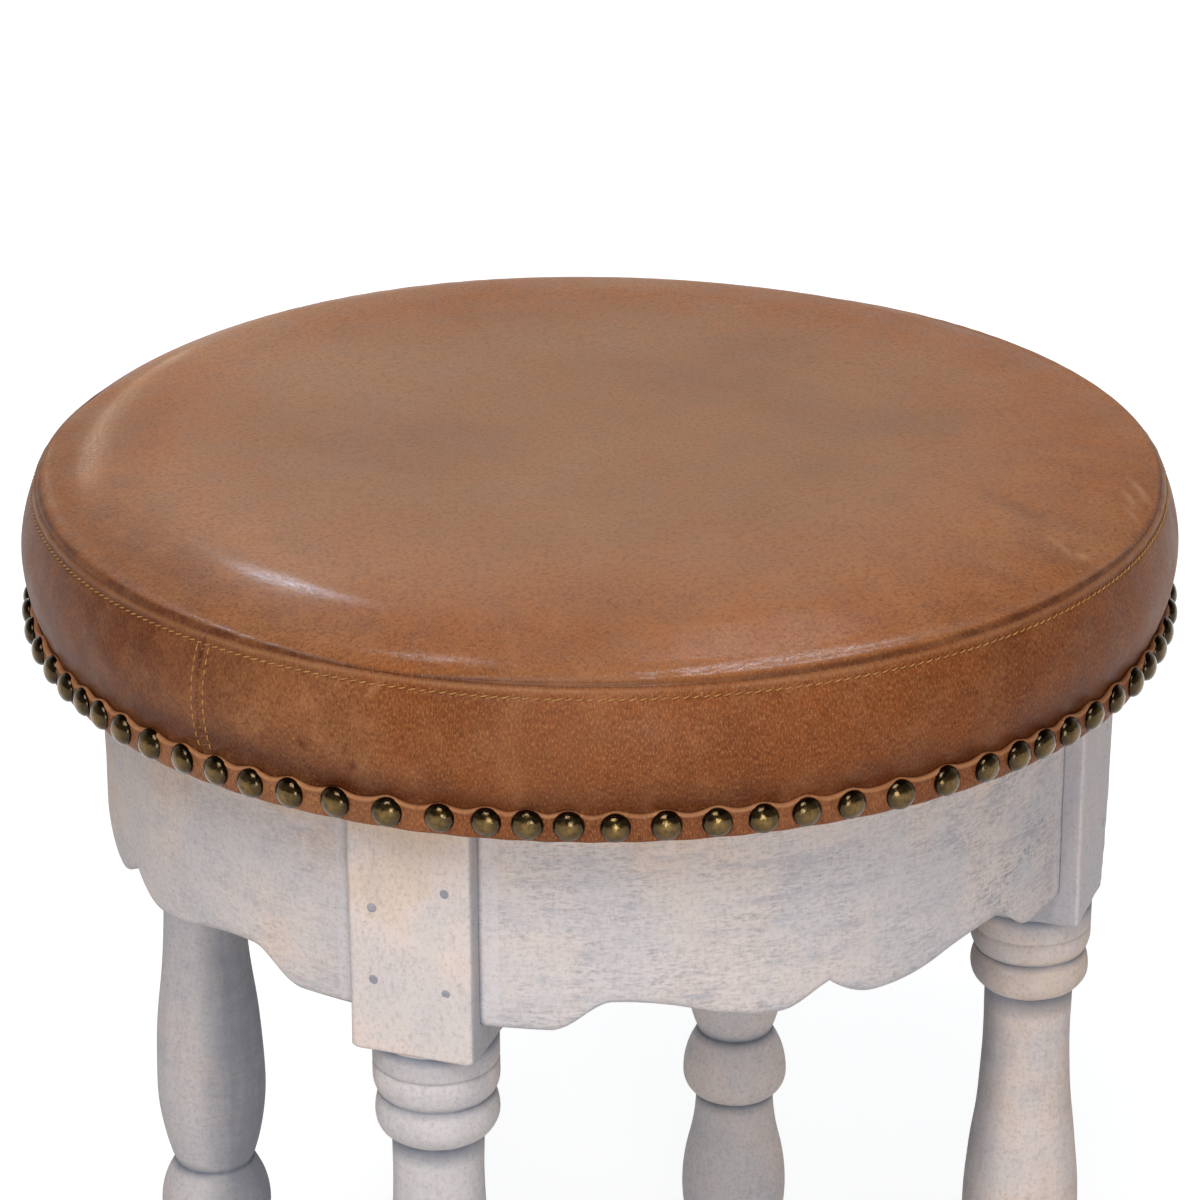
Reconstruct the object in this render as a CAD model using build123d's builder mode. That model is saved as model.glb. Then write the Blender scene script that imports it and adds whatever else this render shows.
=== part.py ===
"""Round leather stool: turned legs, a scalloped apron frame and a boxed leather seat.

Millimetres, +Z up. The origin lies on the floor under the middle of the seat, the front faces -Y.
Each leg and each apron is drawn once, along +X, and placed round the stool by its angle.
"""

import math
import os

from build123d import *

os.makedirs("parts", exist_ok=True)

# Legs: square stock with a turned lower part, lengths listed from the block down to the floor
LEG_LENGTH = 392.0
LEG_STOCK = 43.0
LEG_SETBACK = 16.0
BLOCK_LENGTH = 92.5
COLLAR_LENGTH = 10.3
BEAD_LENGTH = 11.4
BEAD_ROUND = 6.0
RING_LENGTH = 15.8
RING_BELLY = 8.0
NECK_LENGTH = 13.0
UPPER_FALL = 34.0
BULB_LENGTH = 28.5
BULB_BELLY = 9.0
LOWER_RISE = 41.5
LOWER_FALL = 28.0
FOOT_LENGTH = 34.0
INCISION = 0.7

# Radii of the turning
COLLAR_R = 21.2
BEAD_R = 21.2
BEAD_GROOVE_R = 19.2
RING_R = 20.8
RING_FOOT_R = 15.6
NECK_R = 15.3
UPPER_SWELL_R = 20.9
WAIST_R = 15.0
BULB_R = 21.2
LOWER_NECK_R = 15.9
LOWER_SWELL_R = 21.4
ANKLE_R = 15.5
FOOT_R = 19.5
FLOOR_R = 14.5
SHOULDER_R = 28.6
SHOULDER_HEIGHT = 6.0

# Aprons: curved boards whose scalloped lower edge rises from the board's full depth
APRON_SETBACK = 21.4
APRON_THICKNESS = 20.0
APRON_DEPTH = 81.0
CUSP_RISE = 9.6
LOBE_REACH = 18.0
LOBE_RISE = 0.8
NOTCH_SHARE = 0.418
NOTCH_RISE = 10.4
STEP_WIDTH = 18.0

# Mortise and tenon joints with draw-bore pegs
TENON_THICKNESS = 9.0
TENON_LENGTH = 15.0
TENON_TOP = 15.0
TENON_BOTTOM = 6.0
MORTISE_GAP = 0.5
PEG_D = 3.2
PEG_SIDES = 8
PEG_LENGTH = 36.0
PEG_INSET = 8.9
PEG_CLEARANCE = 0.05
LEFT_PEG_TOP = 31.0
LEFT_PEG_LOW = 67.0
RIGHT_PEG_TOP = 40.0
RIGHT_PEG_LOW = 66.0

# Glue blocks that tie the aprons to the seat board
GLUE_WIDTH = 70.0
GLUE_DEPTH = 26.0
GLUE_HEIGHT = 28.0
GLUE_LINE = 0.2

# Seat: board, foam pad and leather cover
BOARD_THICKNESS = 18.0
LEATHER = 1.6
SOFT_GAP = 0.3
BAND_R = 198.4
BAND_BULGE = 3.6
TURN_UNDER = 12.0
SEAM_SETBACK = 2.4
SEAM_HEIGHT = 52.0
CROWN = 15.3
PLATEAU_SHARE = 0.357
SLOPE_SHARE = 0.714
SLOPE_DROP = 2.8
STRIP_THICKNESS = 1.5
STRIP_HEIGHT = 10.6
STRIP_GAP = 0.1

# Brass nails, set by hand: their places wander a little from an even pitch, in degrees
NAIL_COUNT = 82
NAIL_START = -179.1
NAIL_SLOW_WANDER = 0.68
NAIL_SLOW_WAVES = 7
NAIL_SLOW_LEAD = 8.0
NAIL_FAST_WANDER = 0.48
NAIL_FAST_WAVES = 14
NAIL_FAST_LEAD = 24.0
NAIL_HEAD_D = 10.2
NAIL_HEAD_HEIGHT = 3.7
NAIL_BROW_D = 7.4
NAIL_BROW_HEIGHT = 2.5
NAIL_HEIGHT = 6.0
NAIL_SIDES = 8

QUARTER = 90
SIDE_NAMES = ("right", "back", "left", "front")
LEG_NAMES = ("back_right", "back_left", "front_left", "front_right")

# Heights and radii worked out from the sizes above
foot_z = FOOT_LENGTH
lower_swell_z = foot_z + LOWER_FALL
lower_neck_z = lower_swell_z + LOWER_RISE
waist_z = lower_neck_z + BULB_LENGTH
upper_swell_z = waist_z + UPPER_FALL
frame_z = LEG_LENGTH
block_z = frame_z - BLOCK_LENGTH
collar_z = block_z - COLLAR_LENGTH
bead_z = collar_z - BEAD_LENGTH
ring_z = bead_z - RING_LENGTH
neck_z = ring_z - NECK_LENGTH
half_panel = QUARTER / 2
side_angles = {name: QUARTER * index for index, name in enumerate(SIDE_NAMES)}
leg_angles = {name: QUARTER * index + half_panel for index, name in enumerate(LEG_NAMES)}
half_stock = LEG_STOCK / 2
apron_r = BAND_R - APRON_SETBACK
leg_circle = apron_r - LEG_SETBACK
block_face = leg_circle + half_stock
apron_inner = apron_r - APRON_THICKNESS
apron_z = frame_z - APRON_DEPTH
notch_reach = apron_r * NOTCH_SHARE
step_reach = notch_reach + STEP_WIDTH
tenon_x = math.sqrt((apron_r - APRON_THICKNESS / 2) ** 2 - half_stock**2)
tenon_height = APRON_DEPTH - TENON_TOP - TENON_BOTTOM
tenon_z = apron_z + TENON_BOTTOM
peg_y = half_stock - PEG_INSET
peg_drops = {1: (LEFT_PEG_TOP, LEFT_PEG_LOW), -1: (RIGHT_PEG_TOP, RIGHT_PEG_LOW)}
peg_places = [(side * peg_y, frame_z - drop) for side in peg_drops for drop in peg_drops[side]]
glue_z = frame_z - GLUE_HEIGHT
strip_z = frame_z - LEATHER
board_r = BAND_R - LEATHER - SOFT_GAP
board_top = frame_z + BOARD_THICKNESS
seam_z = strip_z + SEAM_HEIGHT
seam_r = BAND_R - SEAM_SETBACK
plateau_r = seam_r * PLATEAU_SHARE
slope_r = seam_r * SLOPE_SHARE
slope_run = (slope_r - plateau_r, -SLOPE_DROP)
strip_inner = BAND_R + STRIP_GAP
strip_outer = strip_inner + STRIP_THICKNESS
nail_z = strip_z + NAIL_HEIGHT


def crown_points(inset):
    """Middle, plateau edge, end of the slope and rim of the crown, moved in and down by the inset."""
    top_z = seam_z + CROWN - inset
    rim = (seam_r - inset, seam_z + LEATHER - inset)
    return [(0, top_z), (plateau_r, top_z), (slope_r, top_z - SLOPE_DROP), rim]


def band_points(inset):
    """Points of the band's swelling side from the strip up to the seam, moved in by the inset."""
    low_z = strip_z + STRIP_HEIGHT
    middle_z = (low_z + seam_z) / 2
    middle_r = (BAND_R + seam_r) / 2 + BAND_BULGE
    return [(BAND_R - inset, low_z), (middle_r - inset, middle_z), (seam_r - inset, seam_z)]


def upright_s(low, high):
    """Two equal arcs between two points of a turning, upright at both ends."""
    middle = ((low[0] + high[0]) / 2, (low[1] + high[1]) / 2)
    TangentArc(low, middle, tangent=(0, 1))
    TangentArc(high, middle, tangent=(0, -1))


def nail_angle(index):
    """Angle of one nail round the seat, in degrees: an even pitch and two small waves."""
    even = 360 * index / NAIL_COUNT
    slow = NAIL_SLOW_WANDER * math.cos(math.radians(NAIL_SLOW_WAVES * even + NAIL_SLOW_LEAD))
    fast = NAIL_FAST_WANDER * math.cos(math.radians(NAIL_FAST_WAVES * even + NAIL_FAST_LEAD))
    return NAIL_START + even + slow + fast


nail_turns = [Location((0, 0, 0), (0, 0, nail_angle(index))) for index in range(NAIL_COUNT)]
nail_plane = Plane(origin=(strip_outer, 0, nail_z), x_dir=(0, 1, 0), z_dir=(1, 0, 0))


# One leg along +X: turning, square block, rounded shoulder, mortises and peg holes
with BuildPart() as leg:
    leg_axis = Axis((leg_circle, 0, 0), (0, 0, 1))
    leg_plane = Plane(origin=(leg_circle, 0, 0), x_dir=(1, 0, 0), z_dir=(0, -1, 0))
    with BuildSketch(leg_plane):
        with BuildLine():
            Polyline((0, block_z), (0, 0), (FLOOR_R, 0))
            ThreePointArc((FLOOR_R, 0), (FOOT_R, FOOT_LENGTH / 2), (ANKLE_R, foot_z))
            TangentArc((LOWER_SWELL_R, lower_swell_z), (ANKLE_R, foot_z), tangent=(0, -1))
            upright_s((LOWER_SWELL_R, lower_swell_z), (LOWER_NECK_R, lower_neck_z))
            bulb = (BULB_R, lower_neck_z + BULB_BELLY)
            TangentArc(bulb, (LOWER_NECK_R, lower_neck_z), tangent=(0, -1))
            TangentArc(bulb, (WAIST_R, waist_z), tangent=(0, 1))
            TangentArc((UPPER_SWELL_R, upper_swell_z), (WAIST_R, waist_z), tangent=(0, -1))
            upright_s((UPPER_SWELL_R, upper_swell_z), (NECK_R, neck_z))
            Line((NECK_R, neck_z), (RING_FOOT_R, ring_z))
            ring = (RING_R, ring_z + RING_BELLY)
            TangentArc(ring, (RING_FOOT_R, ring_z), tangent=(0, -1))
            TangentArc(ring, (BEAD_GROOVE_R, bead_z), tangent=(0, 1))
            bead = (BEAD_R, bead_z + BEAD_ROUND)
            TangentArc(bead, (BEAD_GROOVE_R, bead_z), tangent=(0, -1))
            Polyline(
                bead,
                (BEAD_R, collar_z - INCISION),
                (BEAD_R - INCISION, collar_z),
                (COLLAR_R, collar_z + INCISION),
                (COLLAR_R, block_z),
                (0, block_z),
            )
        make_face()
    revolve(axis=leg_axis)
    with Locations((leg_circle, 0, block_z)):
        Box(LEG_STOCK, LEG_STOCK, BLOCK_LENGTH, align=(Align.CENTER, Align.CENTER, Align.MIN))
    corner_r = half_stock * math.sqrt(2) + 1
    with BuildSketch(leg_plane):
        with BuildLine():
            Polyline(
                (SHOULDER_R, block_z),
                (corner_r, block_z),
                (corner_r, block_z + SHOULDER_HEIGHT),
                (SHOULDER_R, block_z),
            )
        make_face()
    revolve(axis=leg_axis, mode=Mode.SUBTRACT)
    for side in peg_drops:
        mortise_depth = TENON_LENGTH + MORTISE_GAP
        with Locations((tenon_x, side * (half_stock - mortise_depth / 2), tenon_z)):
            Box(
                TENON_THICKNESS,
                mortise_depth,
                tenon_height,
                align=(Align.CENTER, Align.CENTER, Align.MIN),
                mode=Mode.SUBTRACT,
            )
    with BuildSketch(Plane.YZ.offset(block_face)):
        with Locations(*peg_places):
            RegularPolygon(PEG_D / 2, PEG_SIDES)
    extrude(amount=-PEG_LENGTH, mode=Mode.SUBTRACT)

# The four whittled pegs of one leg
with BuildPart() as pegs:
    with BuildSketch(Plane.YZ.offset(block_face)):
        with Locations(*peg_places):
            RegularPolygon(PEG_D / 2 - PEG_CLEARANCE, PEG_SIDES)
    extrude(amount=-PEG_LENGTH)

for name, angle in leg_angles.items():
    with BuildPart() as placed_leg:
        add(leg.part, rotation=(0, 0, angle))
    placed_leg.part.label = f"leg_{name}"
    export_step(placed_leg.part, f"parts/leg_{name}.step")
    with BuildPart() as placed_pegs:
        add(pegs.part, rotation=(0, 0, angle))
    placed_pegs.part.label = f"pegs_{name}"
    export_step(placed_pegs.part, f"parts/pegs_{name}.step")

# One apron with its middle on +X: curved board between two blocks, scallop, tenons and peg holes
with BuildPart() as apron:
    apex_x = half_stock * math.sqrt(2)
    with BuildSketch(Plane.XY.offset(apron_z)):
        Circle(apron_r)
        Circle(apron_inner, mode=Mode.SUBTRACT)
        Polygon(
            (apex_x, 0),
            (apex_x + apron_r, -apron_r),
            (apex_x + apron_r, apron_r),
            align=None,
            mode=Mode.INTERSECT,
        )
    extrude(amount=APRON_DEPTH)
    with BuildSketch(Plane.YZ):
        with BuildLine():
            lobe = (LOBE_REACH, apron_z + LOBE_RISE)
            notch = (notch_reach, apron_z + NOTCH_RISE)
            middle = ((lobe[0] + notch[0]) / 2, (lobe[1] + notch[1]) / 2)
            TangentArc(lobe, (0, apron_z + CUSP_RISE), tangent=(-1, 0))
            TangentArc(lobe, middle, tangent=(1, 0))
            TangentArc(notch, middle, tangent=(-1, 0))
            TangentArc(notch, (step_reach, apron_z), tangent=(1, 0))
            Polyline(
                (step_reach, apron_z),
                (step_reach, apron_z - 1),
                (0, apron_z - 1),
                (0, apron_z + CUSP_RISE),
            )
        make_face()
        mirror(about=Plane.YZ)
    extrude(amount=apron_r, mode=Mode.SUBTRACT)
    for side in peg_drops:
        leg_frame = Plane.XY.rotated((0, 0, -side * half_panel))
        with Locations(leg_frame):
            with Locations((tenon_x, side * (half_stock - TENON_LENGTH / 2), tenon_z)):
                Box(
                    TENON_THICKNESS,
                    TENON_LENGTH,
                    tenon_height,
                    align=(Align.CENTER, Align.CENTER, Align.MIN),
                )
        with BuildSketch(leg_frame * Plane.YZ.offset(block_face)):
            with Locations(*[place for place in peg_places if place[0] * side > 0]):
                RegularPolygon(PEG_D / 2, PEG_SIDES)
        extrude(amount=-PEG_LENGTH, mode=Mode.SUBTRACT)

# One glue block against the middle of an apron
with BuildPart() as glue_block:
    with BuildSketch(Plane.XY.offset(glue_z)):
        Circle(apron_inner - GLUE_LINE)
        with Locations((apron_inner - GLUE_DEPTH, 0)):
            Rectangle(2 * GLUE_DEPTH, GLUE_WIDTH, align=(Align.MIN, Align.CENTER), mode=Mode.INTERSECT)
    extrude(amount=GLUE_HEIGHT)

for name, angle in side_angles.items():
    with BuildPart() as placed_apron:
        add(apron.part, rotation=(0, 0, angle))
    placed_apron.part.label = f"apron_{name}"
    export_step(placed_apron.part, f"parts/apron_{name}.step")
    with BuildPart() as placed_block:
        add(glue_block.part, rotation=(0, 0, angle))
    placed_block.part.label = f"glue_block_{name}"
    export_step(placed_block.part, f"parts/glue_block_{name}.step")

# Round seat board
with BuildPart() as seat_board:
    with Locations((0, 0, frame_z)):
        Cylinder(board_r, BOARD_THICKNESS, align=(Align.CENTER, Align.CENTER, Align.MIN))
seat_board.part.label = "seat_board"
export_step(seat_board.part, "parts/seat_board.step")

# Foam pad that fills the cover
with BuildPart() as foam_pad:
    foam_inset = LEATHER + SOFT_GAP
    foam_side = band_points(foam_inset)
    foam_crown = crown_points(foam_inset)
    with BuildSketch(Plane.XZ):
        with BuildLine():
            Polyline((0, board_top), (foam_side[0][0], board_top), foam_side[1], foam_crown[-1])
            Polyline(*reversed(foam_crown), (0, board_top))
        make_face()
    revolve(axis=Axis.Z)
foam_pad.part.label = "foam_pad"
export_step(foam_pad.part, "parts/foam_pad.step")

# Leather top panel: a flat middle that rolls over to the seam
with BuildPart() as leather_top:
    outer_crown = crown_points(0)
    inner_crown = crown_points(LEATHER)
    with BuildSketch(Plane.XZ):
        with BuildLine():
            Polyline(*outer_crown[:-1])
            TangentArc(*outer_crown[-2:], tangent=slope_run)
            Polyline(outer_crown[-1], (seam_r, seam_z), inner_crown[-1])
            TangentArc(*inner_crown[-2:], tangent=slope_run)
            Polyline(*reversed(inner_crown[:-1]), outer_crown[0])
        make_face()
    revolve(axis=Axis.Z)
leather_top.part.label = "leather_top"
export_step(leather_top.part, "parts/leather_top.step")

# Leather side band, turned under the board
with BuildPart() as leather_band:
    outer_band = band_points(0)
    inner_band = band_points(LEATHER)
    with BuildSketch(Plane.XZ):
        with BuildLine():
            Polyline((BAND_R - TURN_UNDER, strip_z), (BAND_R, strip_z), outer_band[0])
            ThreePointArc(*outer_band)
            Line(outer_band[-1], inner_band[-1])
            ThreePointArc(*inner_band)
            Polyline(
                inner_band[0],
                (BAND_R - LEATHER, frame_z),
                (BAND_R - TURN_UNDER, frame_z),
                (BAND_R - TURN_UNDER, strip_z),
            )
        make_face()
    revolve(axis=Axis.Z)
leather_band.part.label = "leather_band"
export_step(leather_band.part, "parts/leather_band.step")

# Leather strip under the nails
with BuildPart() as leather_strip:
    with BuildSketch(Plane.XY.offset(strip_z)):
        Circle(strip_outer)
        Circle(strip_inner, mode=Mode.SUBTRACT)
    extrude(amount=STRIP_HEIGHT)
leather_strip.part.label = "leather_strip"
export_step(leather_strip.part, "parts/leather_strip.step")

# One hammered nail head along +X, then the whole row
with BuildPart() as nail:
    with BuildSketch(nail_plane):
        RegularPolygon(NAIL_HEAD_D / 2, NAIL_SIDES)
    with BuildSketch(nail_plane.offset(NAIL_BROW_HEIGHT)):
        RegularPolygon(NAIL_BROW_D / 2, NAIL_SIDES)
    loft(ruled=True)
    loft([nail.faces().sort_by(Axis.X)[-1], Vertex(strip_outer + NAIL_HEAD_HEIGHT, 0, nail_z)], ruled=True)

with BuildPart() as brass_nails:
    with Locations(*nail_turns):
        add(nail.part)
brass_nails.part.label = "brass_nails"
export_step(brass_nails.part, "parts/brass_nails.step")
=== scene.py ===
"""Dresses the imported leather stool: turned whitewashed frame, tan leather seat and brass nails.

Shapes are worked out in millimetres, in the frame's own axes, and become metres when a mesh is made.
The stool stands on the floor with its front towards -Y and its legs on the diagonals. A turn is in
radians and a bearing in degrees; both count from +X towards +Y.
"""

import logging
import math
from dataclasses import dataclass
from enum import Enum

import bpy
import numpy as np
from mathutils import Matrix, Vector


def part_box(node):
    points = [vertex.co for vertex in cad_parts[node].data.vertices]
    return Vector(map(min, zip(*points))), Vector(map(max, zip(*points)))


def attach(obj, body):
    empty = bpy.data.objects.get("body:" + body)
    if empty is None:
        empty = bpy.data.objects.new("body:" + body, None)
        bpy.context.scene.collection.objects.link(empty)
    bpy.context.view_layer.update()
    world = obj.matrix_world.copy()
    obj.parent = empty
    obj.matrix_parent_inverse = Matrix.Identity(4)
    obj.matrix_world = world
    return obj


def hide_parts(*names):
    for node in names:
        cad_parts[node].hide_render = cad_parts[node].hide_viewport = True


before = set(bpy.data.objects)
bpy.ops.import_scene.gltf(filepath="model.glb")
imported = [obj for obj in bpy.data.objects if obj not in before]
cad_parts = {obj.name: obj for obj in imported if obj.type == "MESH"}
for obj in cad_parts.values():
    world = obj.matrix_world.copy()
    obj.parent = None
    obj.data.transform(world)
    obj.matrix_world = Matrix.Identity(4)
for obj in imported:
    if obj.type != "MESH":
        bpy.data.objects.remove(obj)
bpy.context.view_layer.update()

Array = np.ndarray
Socket = bpy.types.NodeSocket
Tree = bpy.types.NodeTree
Material = bpy.types.Material
Thing = bpy.types.Object
Colour = tuple[float, float, float, float]
Point = tuple[float, float]

MM = 0.001
TAU = 2 * math.pi
EIGHTH = math.pi / 4
# Directions in a turning's outline, as radius and height.
UP, DOWN = (0, 1), (0, -1)
BODY = "root"
# Socket types of the shared shader groups.
FLOAT, VECTOR = "NodeSocketFloat", "NodeSocketVector"
WHITE = (1.0, 1.0, 1.0, 1.0)
# Thickness of the leather.
LEATHER = 1.6
# How far below the seat the wood's painted warm bounce light from the leather starts, and over what height it gains
# its full strength.
BOUNCE_START, BOUNCE_RUN = 17.0, 11.0
LOG = logging.getLogger("stool")


class Named(Enum):
    """A choice whose name the CAD nodes spell in small letters."""

    @property
    def node(self) -> str:
        """The name as the CAD nodes spell it."""
        return self.name.lower()


class Corner(Named):
    """The legs by name, with the bearing of each."""

    FRONT_LEFT = 225.0
    FRONT_RIGHT = 315.0
    BACK_RIGHT = 45.0
    BACK_LEFT = 135.0


class Side(Named):
    """The aprons by name, with the bearing of each one's middle."""

    FRONT = 270.0
    RIGHT = 0.0
    BACK = 90.0
    LEFT = 180.0


def wander(seed: int, *axes: Array, waves: int = 5) -> Array:
    """Smooth unevenness between about -1 and 1: a sum of sine waves over the given axes.

    Args:
        seed: Chooses the directions and phases of the waves.
        axes: Coordinates in units of one wavelength.
        waves: How many waves are summed.

    Returns:
        The unevenness at each point.
    """
    rng = np.random.default_rng(seed)
    total = np.zeros(np.broadcast(*axes).shape)
    for _ in range(waves):
        pull = rng.normal(size=len(axes))
        phase = rng.uniform(0, TAU)
        total = total + np.sin(phase + TAU * sum(p * a for p, a in zip(pull, axes)))
    return total / math.sqrt(2 * waves)


def bump(distance: Array, width: float) -> Array:
    """Bell curve of a distance: 1 at nothing, about a third at the width."""
    return np.exp(-((distance / width) ** 2))


def apart(turn: Array, bearing: float) -> Array:
    """Signed angle in degrees from a bearing to each turn."""
    return (np.degrees(turn) - bearing + 180) % 360 - 180


def near(turn: Array, bearing: float, width: float) -> Array:
    """Bell curve round a bearing, with its width in degrees."""
    return bump(apart(turn, bearing), width)


def climb(value: Array, low: float, high: float) -> Array:
    """Share of the way from a low value to a high one, held between 0 and 1."""
    return np.clip((value - low) / (high - low), 0, 1)


def seat_bounce(height: Array, top: float) -> Array:
    """Share of the painted warm bounce light from the leather that runs down the wood from the seat."""
    return np.clip((height - top + BOUNCE_START) / BOUNCE_RUN, 0, 1)


def whole_turn(count: int, start: float = -math.pi) -> Array:
    """Even turns once round, without the last one that meets the first."""
    return np.linspace(start, start + TAU, count, endpoint=False)


def round_points(radius: Array, turn: Array, height: Array) -> Array:
    """Points at a radius, a turn and a height."""
    places = np.broadcast_arrays(radius * np.cos(turn), radius * np.sin(turn), height)
    return np.stack(places, axis=-1)


def turned(points: Array, bearing: float) -> Array:
    """Points turned about the seat's upright axis."""
    c, s = math.cos(math.radians(bearing)), math.sin(math.radians(bearing))
    return points @ np.array([[c, s, 0], [-s, c, 0], [0, 0, 1]])


def direction(bearing: float, elevation: float) -> Vector:
    """Unit vector towards a bearing and an elevation in degrees."""
    turn, lift = math.radians(bearing), math.radians(elevation)
    return Vector((math.cos(turn) * math.cos(lift), math.sin(turn) * math.cos(lift), math.sin(lift)))


def tangent_arc(start: Point, tangent: Point, end: Point, count: int) -> Array:
    """Points of the arc that leaves start along a tangent and ends at end.

    Args:
        start: First point, as radius and height.
        tangent: Direction of the arc at its first point.
        end: Last point.
        count: Number of points.

    Returns:
        Array of shape (count, 2).
    """
    start, end = np.array(start, float), np.array(end, float)
    along = np.array(tangent, float) / np.linalg.norm(tangent)
    chord = end - start
    normal = chord - along * (chord @ along)
    normal /= np.linalg.norm(normal)
    half = math.atan2(chord @ normal, chord @ along)
    radius = np.linalg.norm(chord) / (2 * math.sin(half))
    turn = np.linspace(0, 2 * half, count)[:, None]
    return start + radius * (np.sin(turn) * along + (1 - np.cos(turn)) * normal)


def upright_s(low: Point, high: Point, count: int) -> Array:
    """Two equal arcs between two points of a turning, upright at both ends.

    Args:
        low: Lower point, as radius and height.
        high: Upper point.
        count: Number of points of each arc.

    Returns:
        Array of shape (2 * count - 1, 2).
    """
    middle = ((low[0] + high[0]) / 2, (low[1] + high[1]) / 2)
    lower = tangent_arc(low, UP, middle, count)
    upper = tangent_arc(high, DOWN, middle, count)[::-1]
    return np.vstack([lower, upper[1:]])


def belly(low: Point, reach: float, high: Point, count: int) -> Array:
    """Arc between two points of a turning, on the circle through both and the widest place midway.

    Args:
        low: Lower point, as radius and height.
        reach: Radius at the widest place.
        high: Upper point.
        count: Number of points.

    Returns:
        Array of shape (count, 2).
    """
    (ax, ay), (bx, by), (cx, cy) = low, (reach, (low[1] + high[1]) / 2), high
    a, b, c = ax**2 + ay**2, bx**2 + by**2, cx**2 + cy**2
    twice = 2 * (ax * (by - cy) + bx * (cy - ay) + cx * (ay - by))
    ux = (a * (by - cy) + b * (cy - ay) + c * (ay - by)) / twice
    uy = (a * (cx - bx) + b * (ax - cx) + c * (bx - ax)) / twice
    radius = math.hypot(ax - ux, ay - uy)
    turn = np.linspace(math.atan2(ay - uy, ax - ux), math.atan2(cy - uy, cx - ux), count)
    return np.stack([ux + radius * np.cos(turn), uy + radius * np.sin(turn)], axis=1)


def arc_sag(run: Array, span: float, rise: float) -> Array:
    """Drop of an arc that starts level and reaches the rise at the span, after each run."""
    radius = (span**2 + rise**2) / (2 * rise)
    return radius - np.sqrt(np.maximum(radius**2 - np.clip(run, 0, span) ** 2, 0))


def half_root(value: Array) -> Array:
    """Half the square root of a value, with 0 for one below 0."""
    return np.sqrt(np.maximum(value, 0)) / 2


def grid_quads(rows: int, cols: int, wrap_rows: bool = False, wrap_cols: bool = False) -> Array:
    """Corner numbers of a grid's four-sided faces.

    Args:
        rows: Points along the first parameter.
        cols: Points along the second parameter.
        wrap_rows: Whether the last row joins the first.
        wrap_cols: Whether the last column joins the first.

    Returns:
        Array of shape (faces, 4).
    """
    i, j = np.meshgrid(np.arange(rows - (not wrap_rows)), np.arange(cols - (not wrap_cols)), indexing="ij")
    i2, j2 = (i + 1) % rows, (j + 1) % cols
    return np.stack([i * cols + j, i * cols + j2, i2 * cols + j2, i2 * cols + j], axis=-1).reshape(-1, 4)


def repeated(quads: Array, count: int, points: int) -> list:
    """Faces of many like grids that follow one another, each with its own number of points."""
    return (quads[None] + (np.arange(count) * points)[:, None, None]).reshape(-1, 4).tolist()


def new_object(name: str, data: bpy.types.ID) -> Thing:
    """Adds an object to the scene, at the origin.

    Args:
        name: Name of the object.
        data: Mesh, lamp or camera that it shows.

    Returns:
        The object.
    """
    thing = bpy.data.objects.new(name, data)
    bpy.context.scene.collection.objects.link(thing)
    return thing


def add_piece(
    name: str,
    points: Array,
    faces: list,
    finish: Material,
    attributes: dict[str, Array] | None = None,
    replaces: tuple[str, ...] = (),
) -> Thing:
    """Makes one shown piece of the stool from points in millimetres.

    Args:
        name: Name of the object.
        points: Array whose last axis holds x, y and z.
        faces: Lists of corner numbers.
        finish: Material of the piece.
        attributes: Values for each point, by attribute name: numbers or triples.
        replaces: CAD nodes that the piece stands for.

    Returns:
        The new object.
    """
    flat = points.reshape(-1, 3) * MM
    mesh = bpy.data.meshes.new(name)
    mesh.from_pydata(flat.tolist(), [], faces)
    mesh.polygons.foreach_set("use_smooth", np.ones(len(mesh.polygons), bool))
    for key, values in (attributes or {}).items():
        triple = values.size == flat.size
        layer = mesh.attributes.new(key, "FLOAT_VECTOR" if triple else "FLOAT", "POINT")
        layer.data.foreach_set("vector" if triple else "value", values.astype(np.float32).ravel())
    mesh.materials.append(finish)
    mesh.update()
    piece = new_object(name, mesh)
    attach(piece, BODY)
    if replaces:
        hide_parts(*replaces)
    LOG.info("%s: %d faces", name, len(mesh.polygons))
    return piece


@dataclass(frozen=True)
class Noise:
    """A noise texture: its scale, detail and roughness, and a factor for each axis where they differ."""

    scale: float
    detail: float = 4.0
    rough: float = 0.55
    stretch: tuple[float, float, float] | None = None


@dataclass(frozen=True)
class Ramp:
    """A range of values and the range that it becomes, clamped, with eased ends."""

    low: float
    high: float
    to_low: float = 0.0
    to_high: float = 1.0

    def scaled(self, factor: float) -> "Ramp":
        """The same ramp with its results multiplied."""
        return Ramp(self.low, self.high, self.to_low * factor, self.to_high * factor)


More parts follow.
